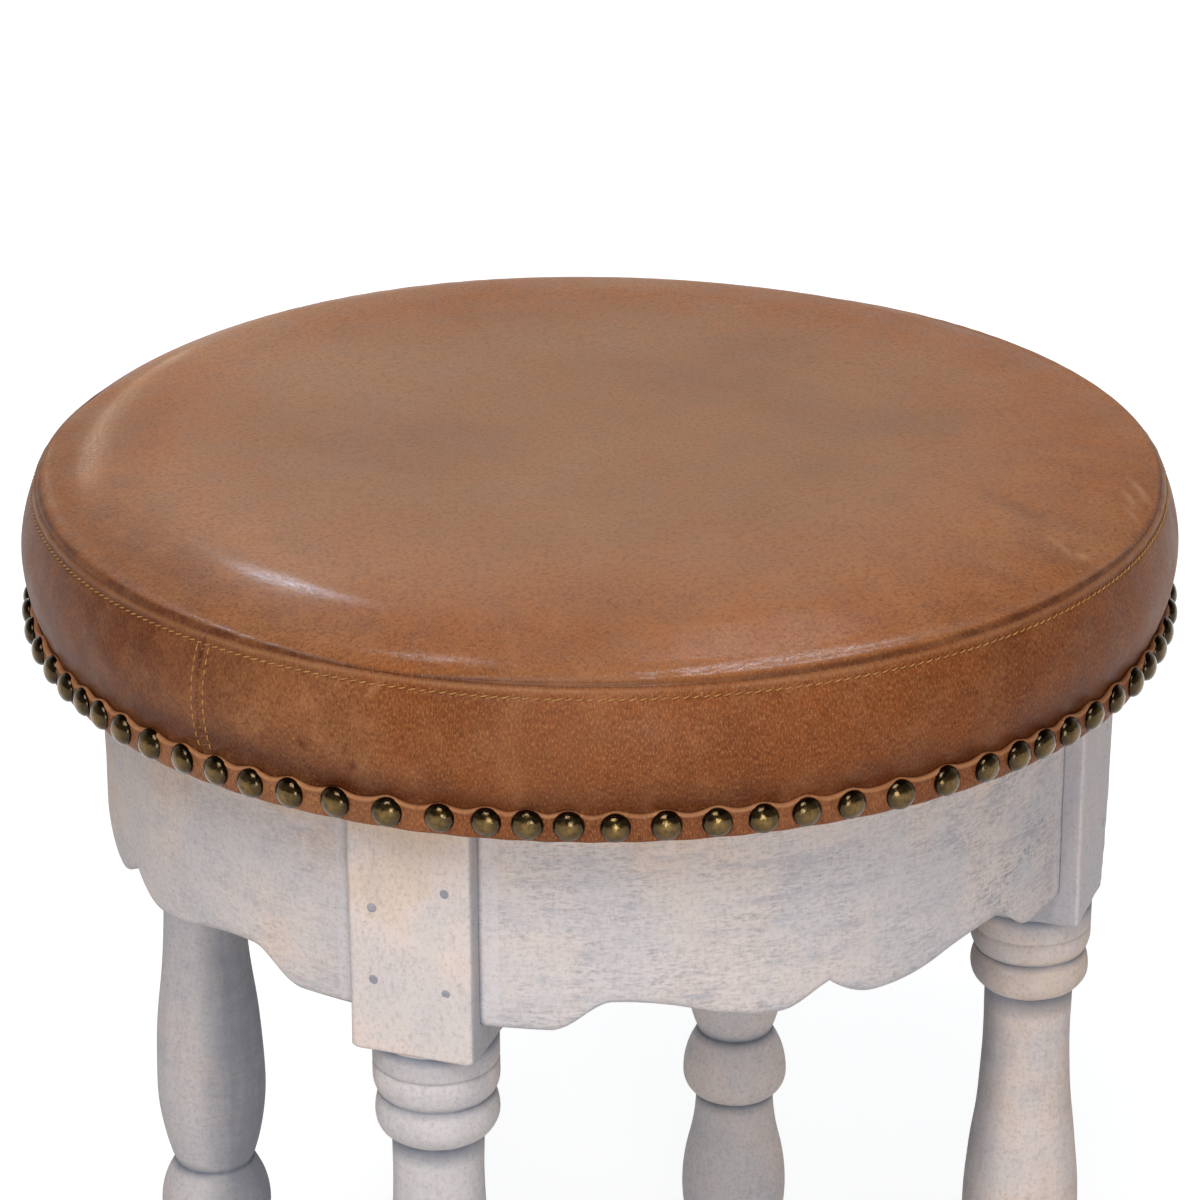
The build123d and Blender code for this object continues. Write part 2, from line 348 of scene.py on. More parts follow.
class Graph:
    """Adds and links the nodes of one shader tree with short calls."""

    def __init__(self, tree: Tree) -> None:
        """Starts from an emptied tree."""
        self.tree = tree
        tree.nodes.clear()

    def node(self, kind: str, inputs: dict | None = None, **settings: object) -> bpy.types.Node:
        """Adds a node.

        Args:
            kind: Name of the node's type.
            inputs: Socket name or number to a value, or to an output socket to link.
            settings: Properties of the node.

        Returns:
            The new node.
        """
        node = self.tree.nodes.new(kind)
        for key, value in settings.items():
            setattr(node, key, value)
        for key, value in (inputs or {}).items():
            if isinstance(value, Socket):
                self.tree.links.new(value, node.inputs[key])
            else:
                node.inputs[key].default_value = value
        return node

    def attribute(self, name: str, output: str = "Fac") -> Socket:
        """The named attribute of the mesh."""
        return self.node("ShaderNodeAttribute", attribute_name=name).outputs[output]

    def place(self) -> Socket:
        """Object coordinates, in metres."""
        return self.node("ShaderNodeTexCoord").outputs["Object"]

    def noise(self, vector: Socket, noise: Noise) -> Socket:
        """Noise texture value over a vector.

        Args:
            vector: Where the noise is read.
            noise: The texture's settings.

        Returns:
            The value.
        """
        if noise.stretch:
            vector = self.node("ShaderNodeMapping", {"Vector": vector, "Scale": noise.stretch}).outputs[0]
        inputs = {"Vector": vector, "Scale": noise.scale, "Detail": noise.detail, "Roughness": noise.rough}
        return self.node("ShaderNodeTexNoise", inputs).outputs[0]

    def span(self, value: Socket, ramp: Ramp) -> Socket:
        """The value moved along a ramp."""
        inputs = {"Value": value, "From Min": ramp.low, "From Max": ramp.high, "To Min": ramp.to_low,
                  "To Max": ramp.to_high}
        return self.node("ShaderNodeMapRange", inputs, interpolation_type="SMOOTHSTEP").outputs[0]

    def cloud(self, vector: Socket, noise: Noise, ramp: Ramp) -> Socket:
        """Noise texture value over a vector, moved along a ramp."""
        return self.span(self.noise(vector, noise), ramp)

    def math(self, operation: str, first: object, second: object) -> Socket:
        """Result of a sum on two values."""
        return self.node("ShaderNodeMath", {0: first, 1: second}, operation=operation).outputs[0]

    def times(self, first: object, second: object) -> Socket:
        """Product of two values."""
        return self.math("MULTIPLY", first, second)

    def clamp(self, value: Socket) -> Socket:
        """The value held between 0 and 1."""
        return self.node("ShaderNodeClamp", {"Value": value}).outputs[0]

    def between(self, share: Socket, first: object, second: object) -> Socket:
        """Two values mixed by a share."""
        return self.node("ShaderNodeMix", {0: share, 2: first, 3: second}, data_type="FLOAT").outputs[0]

    def mix(self, share: object, first: object, second: object) -> Socket:
        """Two colours mixed by a share."""
        return self.node("ShaderNodeMix", {0: share, 6: first, 7: second}, data_type="RGBA").outputs[2]

    def bump(self, height: Socket, strength: float, distance: float) -> Socket:
        """Normal bent by a height, with the distance in metres."""
        inputs = {"Height": height, "Strength": strength, "Distance": distance}
        return self.node("ShaderNodeBump", inputs).outputs[0]

    def group(self, tree: Tree, inputs: dict) -> bpy.types.NodeOutputs:
        """Adds a shared group, feeds its inputs and gives its outputs."""
        return self.node("ShaderNodeGroup", inputs, node_tree=tree).outputs

    def surface(self, **inputs: object) -> None:
        """Ends a material with a Principled shader, whose inputs are named with underscores for spaces."""
        shader = self.node("ShaderNodeBsdfPrincipled", {key.replace("_", " "): v for key, v in inputs.items()})
        self.node("ShaderNodeOutputMaterial", {"Surface": shader.outputs[0]})

    def results(self, values: dict[str, Socket]) -> Tree:
        """Ends a shared group.

        Args:
            values: The group's outputs by name.

        Returns:
            The group's tree.
        """
        for name in values:
            self.tree.interface.new_socket(name, in_out="OUTPUT", socket_type=FLOAT)
        self.node("NodeGroupOutput", values)
        return self.tree


def rgb(red: float, green: float, blue: float) -> Colour:
    """Linear colour from a screen colour, by the usual screen curve.

    Args:
        red: Red, from 0 to 255.
        green: Green, likewise.
        blue: Blue, likewise.

    Returns:
        The colour with full cover.
    """
    screen = np.array([red, green, blue]) / 255
    linear = np.where(screen <= 0.04045, screen / 12.92, ((screen + 0.055) / 1.055) ** 2.4)
    return (*linear.tolist(), 1.0)


def new_material(name: str) -> tuple[Material, Graph]:
    """Starts a node material.

    Args:
        name: Name of the material.

    Returns:
        The empty material and its graph.
    """
    material = bpy.data.materials.new(name)
    material.use_nodes = True
    return material, Graph(material.node_tree)


def shared_group(name: str, inputs: dict[str, str]) -> tuple[Graph, list[Socket]]:
    """Starts a shader node group.

    Args:
        name: Name of the group.
        inputs: Socket names to socket types.

    Returns:
        The group's graph and its input sockets in their order.
    """
    tree = bpy.data.node_groups.new(name, "ShaderNodeTree")
    for label, kind in inputs.items():
        tree.interface.new_socket(label, in_out="INPUT", socket_type=kind)
    graph = Graph(tree)
    source = graph.node("NodeGroupInput")
    return graph, [source.outputs[label] for label in inputs]


@dataclass(frozen=True)
class WoodGrain:
    """Shared wood grain: short fibres and long streaks that run level, or upright where the input says so."""

    level_fibre: Noise = Noise(1.0, 5.0, 0.7, (260.0, 260.0, 1150.0))
    upright_fibre: Noise = Noise(1.0, 5.0, 0.7, (950.0, 950.0, 300.0))
    level_streak: Noise = Noise(1.0, 6.0, 0.68, (34.0, 34.0, 210.0))
    upright_streak: Noise = Noise(1.0, 6.0, 0.68, (170.0, 170.0, 36.0))

    def make(self) -> Tree:
        """Makes the shader node group.

        Returns:
            The group, with the outputs "Fibre" and "Streak".
        """
        graph, (vector, upright) = shared_group("Wood grain", {"Vector": VECTOR, "Upright": FLOAT})
        pairs = {"Fibre": (self.level_fibre, self.upright_fibre), "Streak": (self.level_streak, self.upright_streak)}
        return graph.results({name: graph.between(upright, *(graph.noise(vector, noise) for noise in pair))
                              for name, pair in pairs.items()})


@dataclass(frozen=True)
class HideGrain:
    """Shared leather grain: pebbled cells, fine pores, short pale flecks, and broad patches of dye."""

    cell_scale: float = 1100.0
    fine: Noise = Noise(1500.0, 3.0, 0.6)
    fine_share: float = 0.7
    pores: Noise = Noise(640.0, 6.0, 0.72)
    pore_ramp: Ramp = Ramp(0.44, 0.66)
    patches: Noise = Noise(9.0, 4.0, 0.55)
    mottle: Noise = Noise(58.0, 7.0, 0.68)
    flecks: Noise = Noise(1.0, 4.0, 0.7, (1800.0, 700.0, 1.0))
    fleck_ramp: Ramp = Ramp(0.45, 0.73)

    def make(self) -> Tree:
        """Makes the shader node group.

        Returns:
            The group, with the outputs "Height", "Pores", "Patches", "Mottle" and "Flecks".
        """
        graph, (vector, flow) = shared_group("Hide grain", {"Vector": VECTOR, "Flow": VECTOR})
        cells = graph.node("ShaderNodeTexVoronoi", {"Vector": vector, "Scale": self.cell_scale}, feature="SMOOTH_F1")
        fine = graph.times(graph.noise(vector, self.fine), self.fine_share)
        return graph.results({
            "Height": graph.math("ADD", cells.outputs["Distance"], fine),
            "Pores": graph.cloud(vector, self.pores, self.pore_ramp),
            "Patches": graph.noise(vector, self.patches),
            "Mottle": graph.noise(vector, self.mottle),
            "Flecks": graph.cloud(flow, self.flecks, self.fleck_ramp),
        })


@dataclass(frozen=True)
class Whitewash:
    """Thin limewash over wood, rubbed back to grey along its fibres, with dirt and painted shade in its grooves and
    on turned-away sides.
    """

    name: str = "whitewashed_wood"
    warm: Colour = rgb(228, 212, 205)
    cool: Colour = rgb(212, 206, 207)
    grey: Colour = rgb(138, 134, 142)
    blue: Colour = rgb(164, 164, 176)
    # Dusky blue-grey for dirt and painted shade in grooves and joints and on turned-away sides.
    dust_and_shade: Colour = rgb(110, 117, 131)
    pale: Colour = rgb(217, 211, 214)
    ochre: Colour = rgb(222, 197, 173)
    speck: Colour = rgb(166, 150, 138)
    broad: Noise = Noise(26.0, 3.0)
    broad_warmth: Ramp = Ramp(0.36, 0.64, -0.45, 0.5)
    ochre_ramp: Ramp = Ramp(0.8, 1.7, 0.0, 0.85)
    paint_share: float = 0.55
    specks: Noise = Noise(640.0, 4.0, 0.75)
    speck_share: Ramp = Ramp(0.47, 0.68, 0.0, 0.38)
    rubs: Noise = Noise(55.0, 4.0, 0.6)
    rub_share: Ramp = Ramp(0.4, 0.64, 0.35, 1.0)
    rub_on_paint: Ramp = Ramp(0.0, 1.0, 1.0, 0.35)
    fibre_share: Ramp = Ramp(0.44, 0.68, 0.0, 0.7)
    streak_share: Ramp = Ramp(0.46, 0.7, 0.0, 0.7)
    dirt_and_shade_break: Ramp = Ramp(0.3, 0.6, 0.78, 1.0)
    relief: tuple[float, float] = (0.3, 0.0005)
    roughness: float = 0.75
    specular: float = 0.25

    def make(self, grain: Tree) -> Material:
        """The finish as a material; it reads the attributes "upright", "warm", "hollow", "pale" and "rub".

        Args:
            grain: The shared wood grain.

        Returns:
            The new material.
        """
        material, graph = new_material(self.name)
        vector, paint = graph.place(), graph.attribute("pale")
        wood = graph.group(grain, {"Vector": vector, "Upright": graph.attribute("upright")})
        # 'warm' carries the wood's warm tone and, under the seat, painted warm bounce light from the leather; its
        # strongest share turns ochre.
        warmth = graph.math("ADD", graph.cloud(vector, self.broad, self.broad_warmth), graph.attribute("warm"))
        colour = graph.mix(graph.clamp(warmth), self.cool, self.warm)
        colour = graph.mix(graph.span(warmth, self.ochre_ramp), colour, self.ochre)
        colour = graph.mix(graph.times(paint, self.paint_share), colour, self.pale)
        colour = graph.mix(graph.cloud(vector, self.specks, self.speck_share), colour, self.speck)
        rubbed = graph.times(graph.cloud(vector, self.rubs, self.rub_share), graph.attribute("rub"))
        rubbed = graph.times(rubbed, graph.span(paint, self.rub_on_paint))
        for name, ramp, tint in (("Fibre", self.fibre_share, self.grey), ("Streak", self.streak_share, self.blue)):
            colour = graph.mix(graph.times(graph.span(wood[name], ramp), rubbed), colour, tint)
        # The dusky tint is dirt in grooves and joints and painted shade on turned-away sides.
        dirt_and_shade_amount = graph.times(graph.attribute("dirt_and_shade"), graph.span(wood["Streak"], self.dirt_and_shade_break))
        colour = graph.mix(graph.clamp(dirt_and_shade_amount), colour, self.dust_and_shade)
        graph.surface(Base_Color=colour, Roughness=self.roughness, Specular_IOR_Level=self.specular,
                      Normal=graph.bump(wood["Fibre"], *self.relief))
        return material


@dataclass(frozen=True)
class RawWood:
    """Bare wood, for the hidden blocks and board and for the grey pegs."""

    name: str
    pale: Colour
    dark: Colour
    streak_share: Ramp = Ramp(0.3, 0.7)
    fibre_share: Ramp = Ramp(0.5, 0.7, 0.0, 0.4)
    roughness: float = 0.8
    specular: float = 0.3

    def make(self, grain: Tree) -> Material:
        """The finish as a material, over object coordinates.

        Args:
            grain: The shared wood grain.

        Returns:
            The new material.
        """
        material, graph = new_material(self.name)
        wood = graph.group(grain, {"Vector": graph.place(), "Upright": graph.attribute("upright")})
        colour = graph.mix(graph.span(wood["Streak"], self.streak_share), self.pale, self.dark)
        colour = graph.mix(graph.span(wood["Fibre"], self.fibre_share), colour, self.dark)
        graph.surface(Base_Color=colour, Roughness=self.roughness, Specular_IOR_Level=self.specular)
        return material


@dataclass(frozen=True)
class TanLeather:
    """Waxed tan leather with patches of darker dye, a satin polish, and a pale painted sheen where the grain is weak.
    """

    name: str
    tan: Colour = rgb(166, 98, 49)
    dark: Colour = rgb(84, 42, 22)
    pale: Colour = rgb(180, 130, 92)
    fleck: Colour = rgb(200, 140, 86)
    # Pale, greyed tint laid where the grain is weak, on the flat middle of the top: a painted sheen.
    painted_sheen: Colour = rgb(157, 128, 101)
    polish: float = 1.0
    pale_patches: Ramp = Ramp(0.46, 0.68, 0.0, 0.45)
    dark_patches: Ramp = Ramp(0.48, 0.32, 0.0, 0.3)
    stain_break: Ramp = Ramp(0.34, 0.6, 0.68, 1.0)
    rubs: Noise = Noise(1.0, 5.0, 0.62, (62.0, 44.0, 1.0))
    rub_share: Ramp = Ramp(0.44, 0.7, 0.0, 0.2)
    mottle_share: Ramp = Ramp(0.42, 0.66, 0.0, 0.2)
    painted_sheen_share: Ramp = Ramp(0.15, 1.0, 0.48, 0.0)
    pore_share: Ramp = Ramp(0.0, 1.0, 0.3, 0.54)
    lint_share: float = 0.52
    lint_on_stain: Ramp = Ramp(0.2, 1.0, 1.0, 0.4)
    worn_break: Ramp = Ramp(0.35, 0.6, 0.5, 1.0)
    roughness: Ramp = Ramp(0.3, 0.7, 0.51, 0.39)
    wax: Ramp = Ramp(0.35, 0.65, 0.06, 0.14)
    streaks: Noise = Noise(1.0, 4.0, 0.65, (360.0, 700.0, 1.0))
    buffing: Ramp = Ramp(0.42, 0.62, 0.2, 1.0)
    wax_on_flecks: Ramp = Ramp(0.0, 0.8, 0.55, 1.25)
    relief: tuple[float, float] = (0.3, 0.0004)
    specular: float = 0.11
    coat_roughness: float = 0.16

    def make(self, hide: Tree) -> Material:
        """The finish as a material; it reads the attributes "worn", "stain", "grain", "shine" and "flow".

        Args:
            hide: The shared leather grain.

        Returns:
            The new material.
        """
        material, graph = new_material(self.name)
        strength, stain, flow = graph.attribute("grain"), graph.attribute("stain"), graph.attribute("flow", "Vector")
        grain = graph.group(hide, {"Vector": graph.place(), "Flow": flow})
        patches, mottle, flecks = grain["Patches"], grain["Mottle"], grain["Flecks"]
        stained = graph.clamp(graph.times(stain, graph.span(mottle, self.stain_break)))
        rubs = graph.times(graph.cloud(flow, self.rubs, self.rub_share), strength)
        dots = graph.times(grain["Pores"], graph.span(strength, self.pore_share))
        lint = graph.times(flecks, graph.times(strength, self.lint_share))
        # Pale 'worn' share: wear on the top and band, and a painted highlight along the strip's lip.
        worn = graph.clamp(graph.times(graph.attribute("worn"), graph.span(mottle, self.worn_break)))
        layers = (
            (graph.span(patches, self.pale_patches), self.pale),
            (graph.span(patches, self.dark_patches), self.dark),
            (stained, self.dark),
            (rubs, self.pale),
            (graph.span(mottle, self.mottle_share), self.dark),
            # painted sheen on the flat middle of the top, where the grain is weak
            (graph.span(strength, self.painted_sheen_share), self.painted_sheen),
            (dots, self.dark),
            (graph.times(lint, graph.span(stain, self.lint_on_stain)), self.fleck),
            (worn, self.pale),
        )
        colour = self.tan
        for share, tint in layers:
            colour = graph.mix(share, colour, tint)
        buffed = graph.times(graph.attribute("shine"), graph.cloud(flow, self.streaks, self.buffing))
        wax = graph.math("ADD", graph.span(patches, self.wax.scaled(self.polish)), buffed)
        graph.surface(Base_Color=colour, Roughness=graph.span(mottle, self.roughness),
                      Specular_IOR_Level=self.specular, Normal=graph.bump(grain["Height"], *self.relief),
                      Coat_Weight=graph.times(wax, graph.span(flecks, self.wax_on_flecks)),
                      Coat_Roughness=self.coat_roughness)
        return material


@dataclass(frozen=True)
class AntiqueBrass:
    """Blackened brass, rubbed bright on the crown of each nail."""

    name: str = "antique_brass"
    bright: Colour = rgb(118, 93, 50)
    dark: Colour = rgb(32, 25, 14)
    spots: Noise = Noise(520.0, 4.0, 0.6)
    bright_share: Ramp = Ramp(0.3, 0.6, 0.45, 1.0)
    roughness: Ramp = Ramp(0.3, 0.7, 0.11, 0.27)
    dents: Noise = Noise(380.0, 3.0)
    relief: tuple[float, float] = (0.45, 0.0006)
    coat: float = 0.28
    coat_roughness: float = 0.07

    def make(self) -> Material:
        """The finish as a material; it reads the mesh's "rubbed" attribute.

        Returns:
            The new material.
        """
        material, graph = new_material(self.name)
        vector = graph.place()
        spots = graph.noise(vector, self.spots)
        share = graph.times(graph.attribute("rubbed"), graph.span(spots, self.bright_share))
        graph.surface(Base_Color=graph.mix(share, self.dark, self.bright), Metallic=1.0,
                      Roughness=graph.span(spots, self.roughness), Coat_Weight=self.coat,
                      Coat_Roughness=self.coat_roughness,
                      Normal=graph.bump(graph.noise(vector, self.dents), *self.relief))
        return material


@dataclass(frozen=True)
class Thread:
    """Sewing thread, with a shadowed twist."""

    name: str
    colour: Colour
    shadow: Colour
    twist: Noise = Noise(400.0)
    twist_share: Ramp = Ramp(0.35, 0.65, 0.0, 0.45)
    roughness: float = 0.8
    specular: float = 0.3

    def make(self) -> Material:
        """The finish as a material.

        Returns:
            The new material.
        """
        material, graph = new_material(self.name)
        share = graph.cloud(graph.place(), self.twist, self.twist_share)
        graph.surface(Base_Color=graph.mix(share, self.colour, self.shadow), Roughness=self.roughness,
                      Specular_IOR_Level=self.specular)
        return material


@dataclass
class TurnedLeg:
    """One leg: a square block over a turned shaft, whose points are radius and height over the floor."""

    corner: Corner
    circle: float = 161.0
    half_stock: float = 21.5
    corner_round: float = 2.2
    sole: Point = (14.5, 1.0)
    foot_radius: float = 19.5
    ankle: Point = (15.5, 34.0)
    lower_swell: Point = (21.4, 62.0)
    lower_neck: Point = (15.9, 103.5)
    bulb_over_neck: Point = (21.2, 9.0)
    waist: Point = (15.0, 132.0)
    upper_swell: Point = (20.9, 166.0)
    neck: Point = (15.3, 249.0)
    ring: Point = (15.7, 262.0)
    crest_over_ring: Point = (20.8, 8.0)
    cove: Point = (19.2, 277.8)
    bead_over_cove: Point = (21.2, 6.0)
    collar: Point = (21.2, 289.2)
    block: float = 299.5
    shoulder_radius: float = 28.8
    shoulder_height: float = 4.0
    shoulder_power: float = 0.7
    worn_reach: float = 30.4
    worn_turn: float = 0.7
    worn_depth: float = 16.0
    worn_power: float = 1.6
    worn_rises: tuple = (0.0, 6.0, 14.0, 26.0, 45.0, 90.0)
    worn_gains: tuple = (0.0, 2.4, 4.4, 6.0, 7.0, 7.8)
    uneven: float = 0.16
    uneven_length: float = 60.0
    # Darkness on the shaft's inner sides: painted shade.
    dust_and_shade: float = 0.0
    warmth: float = 0.0
    # Darkness over the whole shaft: painted shade.
    shaft_shade: float = 0.05
    painted: float = 0.0
    columns: int = 144

    def shaft(self) -> Array:
        """Outline of the turning from the floor to the block, as radius and height.

        Returns:
            Array of shape (points, 2).
        """
        crests = ((self.bulb_over_neck, self.lower_neck), (self.crest_over_ring, self.ring),
                  (self.bead_over_cove, self.cove))
        bulb, crest, bead = ((over[0], foot[1] + over[1]) for over, foot in crests)
        (sole, _), (neck, neck_height), collar = self.sole, self.neck, self.collar[0]
        groove = np.array([[0.0, -1.1], [-0.3, -0.6], [-0.7, 0.0], [-0.3, 0.6], [0.0, 1.1], [0.0, 6.0]])
        return np.vstack([
            np.array([[0.0, 0.0], [sole - 1.3, 0.0], [sole - 0.3, 0.5]]),
            belly(self.sole, self.foot_radius, self.ankle, 18),
            tangent_arc(self.lower_swell, DOWN, self.ankle, 14)[::-1],
            upright_s(self.lower_swell, self.lower_neck, 10)[1:],
            tangent_arc(bulb, DOWN, self.lower_neck, 10)[::-1],
            tangent_arc(bulb, UP, self.waist, 14)[1:],
            tangent_arc(self.upper_swell, DOWN, self.waist, 16)[::-1],
            upright_s(self.upper_swell, self.neck, 14)[1:],
            np.array([[neck + 0.1, neck_height + 5.0], [neck + 0.2, self.ring[1] - 1.0]]),
            tangent_arc(crest, DOWN, self.ring, 10)[::-1],
            tangent_arc(crest, UP, self.cove, 9)[1:],
            tangent_arc(bead, DOWN, self.cove, 9)[::-1],
            groove + np.array(self.collar),
            np.array([[collar, self.block - 0.5], [collar - 0.1, self.block]]),
        ])

    def turns(self) -> Array:
        """Turns of the leg's columns, closer together by the block's four edges."""
        edges = (np.arange(4) * 2 * EIGHTH - 3 * EIGHTH)[:, None] + np.linspace(-0.09, 0.09, 9)
        return np.unique(np.round(np.concatenate([whole_turn(self.columns), edges.ravel()]), 6))

    def square(self, turn: Array) -> Array:
        """Distance from the leg's axis to the block's outline: straight sides and rounded edges.

        Args:
            turn: Turns about the leg's axis.

        Returns:
            The distance at each turn.
        """
        folded = np.abs((turn + EIGHTH) % (2 * EIGHTH) - EIGHTH)
        inner = self.half_stock - self.corner_round
        centre_along = inner * (np.cos(folded) + np.sin(folded))
        centre_off = inner * (np.cos(folded) - np.sin(folded))
        rounded = centre_along + np.sqrt(np.maximum(self.corner_round**2 - centre_off**2, 0))
        return np.where(self.half_stock * np.tan(folded) > inner, rounded, self.half_stock / np.cos(folded))

    def block_reach(self, rises: Array, turn: Array) -> Array:
        """Distance from the leg's axis to the block: its square, cut by a round shoulder and one worn edge.

        Args:
            rises: Heights over the block's foot.
            turn: Turns about the leg's axis.

        Returns:
            The distance for each rise and turn.
        """
        shoulder = np.minimum(rises / self.shoulder_height, 1) ** self.shoulder_power
        limit = self.shoulder_radius + (math.sqrt(2) * self.half_stock - self.shoulder_radius) * shoulder
        reach = np.minimum(self.square(turn)[None, :], limit[:, None])
        worn = np.interp(rises, self.worn_rises, self.worn_gains) + self.worn_reach
        beside = 1 - np.clip(1 - np.abs(turn - EIGHTH) / self.worn_turn, 0, 1)
        reach = np.minimum(reach, worn[:, None] + self.worn_depth * beside[None, :] ** self.worn_power)
        ease = np.zeros(len(rises))
        ease[[0, 1, -1]] = (0.9, 0.3, 0.6)
        return reach - ease[:, None]

    def marks(self, radius: Array, height: Array, turn: Array) -> dict[str, Array]:
        """What the finish reads: dirt and painted shade in the grooves, painted shade on the inner sides, painted
        warm light under the seat, paint.

        Args:
            radius: Radius for each height and turn.
            height: Heights over the floor.
            turn: Turns about the leg's axis.

        Returns:
            Values for each point, by attribute name.
        """
        reach = radius.mean(axis=1)
        smooth = np.interp(height[:, None] + np.linspace(-6, 6, 15), height, reach).mean(axis=1)
        groove = np.clip((smooth - reach) / 1.5, 0, 1) * (height < self.block - 0.3)
        on_block = (height >= self.block - 0.1)[:, None] * np.ones(len(turn))
        outward = np.abs(turn) < EIGHTH
        inward = np.clip(-0.15 - np.cos(turn), 0, 0.6) / 0.6
        # Grooves get dirt and painted shade; the block's turned-away faces get painted shade.
        dirt_and_shade = np.maximum(groove[:, None], 0.4 * on_block * ~outward[None, :])
        # Painted shade over the shaft, and more on its inner sides.
        dirt_and_shade = np.maximum(dirt_and_shade, (self.shaft_shade + self.dust_and_shade * inward[None, :]) * (1 - on_block))
        # Warmer on the block's outer face, and under the seat painted warm bounce light from the leather.
        stained = np.where(outward, 0.75, 0.1)[None, :] + 0.85 * seat_bounce(height, height[-1])[:, None]
        warm = on_block * stained * (1 - self.painted) + self.warmth * (1 - on_block)
        return {"upright": 0.55 + 0.2 * on_block, "dirt_and_shade": dirt_and_shade, "warm": warm, "rub": 0.5 - 0.08 * on_block,
                "pale": self.painted * on_block}

    def build(self, finish: Material) -> None:
        """Makes the leg: rings of the turning, then rings of the block cut by its rounded shoulder.

        Args:
            finish: Material of the leg.
        """
        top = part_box(f"leg_{self.corner.node}")[1][2] / MM
        turn, outline = self.turns(), self.shaft()
        tall = top - self.block
        rises = np.concatenate([[0.0, 0.4, 0.9], np.linspace(1.5, self.shoulder_height, 4),
                                np.linspace(6, tall - 1.0, 30), [tall]])
        shaft = np.repeat(outline[:, :1], len(turn), axis=1)
        radius = np.vstack([shaft, self.block_reach(rises, turn), np.zeros((1, len(turn)))])
        height = np.concatenate([outline[:, 1], self.block + rises, [top]])
        lengths = height[:, None] / self.uneven_length
        uneven = self.uneven * wander(int(self.corner.value), np.cos(turn)[None, :], np.sin(turn)[None, :], lengths)
        radius = np.where(radius > 1, radius + uneven * (height[:, None] > 3), radius)
        local = round_points(radius, turn, height[:, None])
        placed = turned(local + np.array([self.circle, 0, 0]), self.corner.value)
        faces = grid_quads(len(height), len(turn), wrap_cols=True).tolist()
        add_piece(f"turned_leg_{self.corner.node}", placed, faces, finish,
                  self.marks(radius, height, turn), (f"leg_{self.corner.node}",))


@dataclass
class PegHeads:
    """The grey end grain of one leg's four draw-bore pegs."""

    corner: Corner
    face: float = 182.5
    spread: float = 12.6
    left_drops: tuple = (31.0, 67.0)
    right_drops: tuple = (40.0, 66.0)
    radius: float = 1.65
    proud: float = 0.12
    sunk: float = -3.0
    columns: int = 20

    def build(self, finish: Material) -> None:
        """Makes four low domes, each a circle carried inwards over a rounded edge.

        Args:
            finish: Material of the pegs.
        """
        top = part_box(f"leg_{self.corner.node}")[1][2] / MM
        turn = whole_turn(self.columns, 0.0)
        share = np.array([0.0, 1.0, 1.0, 0.86, 0.5, 0.0])
        lift = np.array([self.sunk, self.sunk, self.proud * 0.3, self.proud * 0.9, self.proud, self.proud])
        places = [(self.spread, drop) for drop in self.left_drops]
        places += [(-self.spread, drop) for drop in self.right_drops]
        centre = np.array([[self.face, across, top - drop] for across, drop in places])
        y, z = (self.radius * share[:, None] * wave(turn) for wave in (np.cos, np.sin))
        x = np.repeat(lift[:, None], len(turn), axis=1)
        local = centre[:, None, None, :] + np.stack([x, y, z], axis=-1)
        faces = repeated(grid_quads(*x.shape, wrap_cols=True), len(places), x.size)
        add_piece(f"peg_heads_{self.corner.node}", turned(local, self.corner.value), faces, finish,
                  None, (f"pegs_{self.corner.node}",))


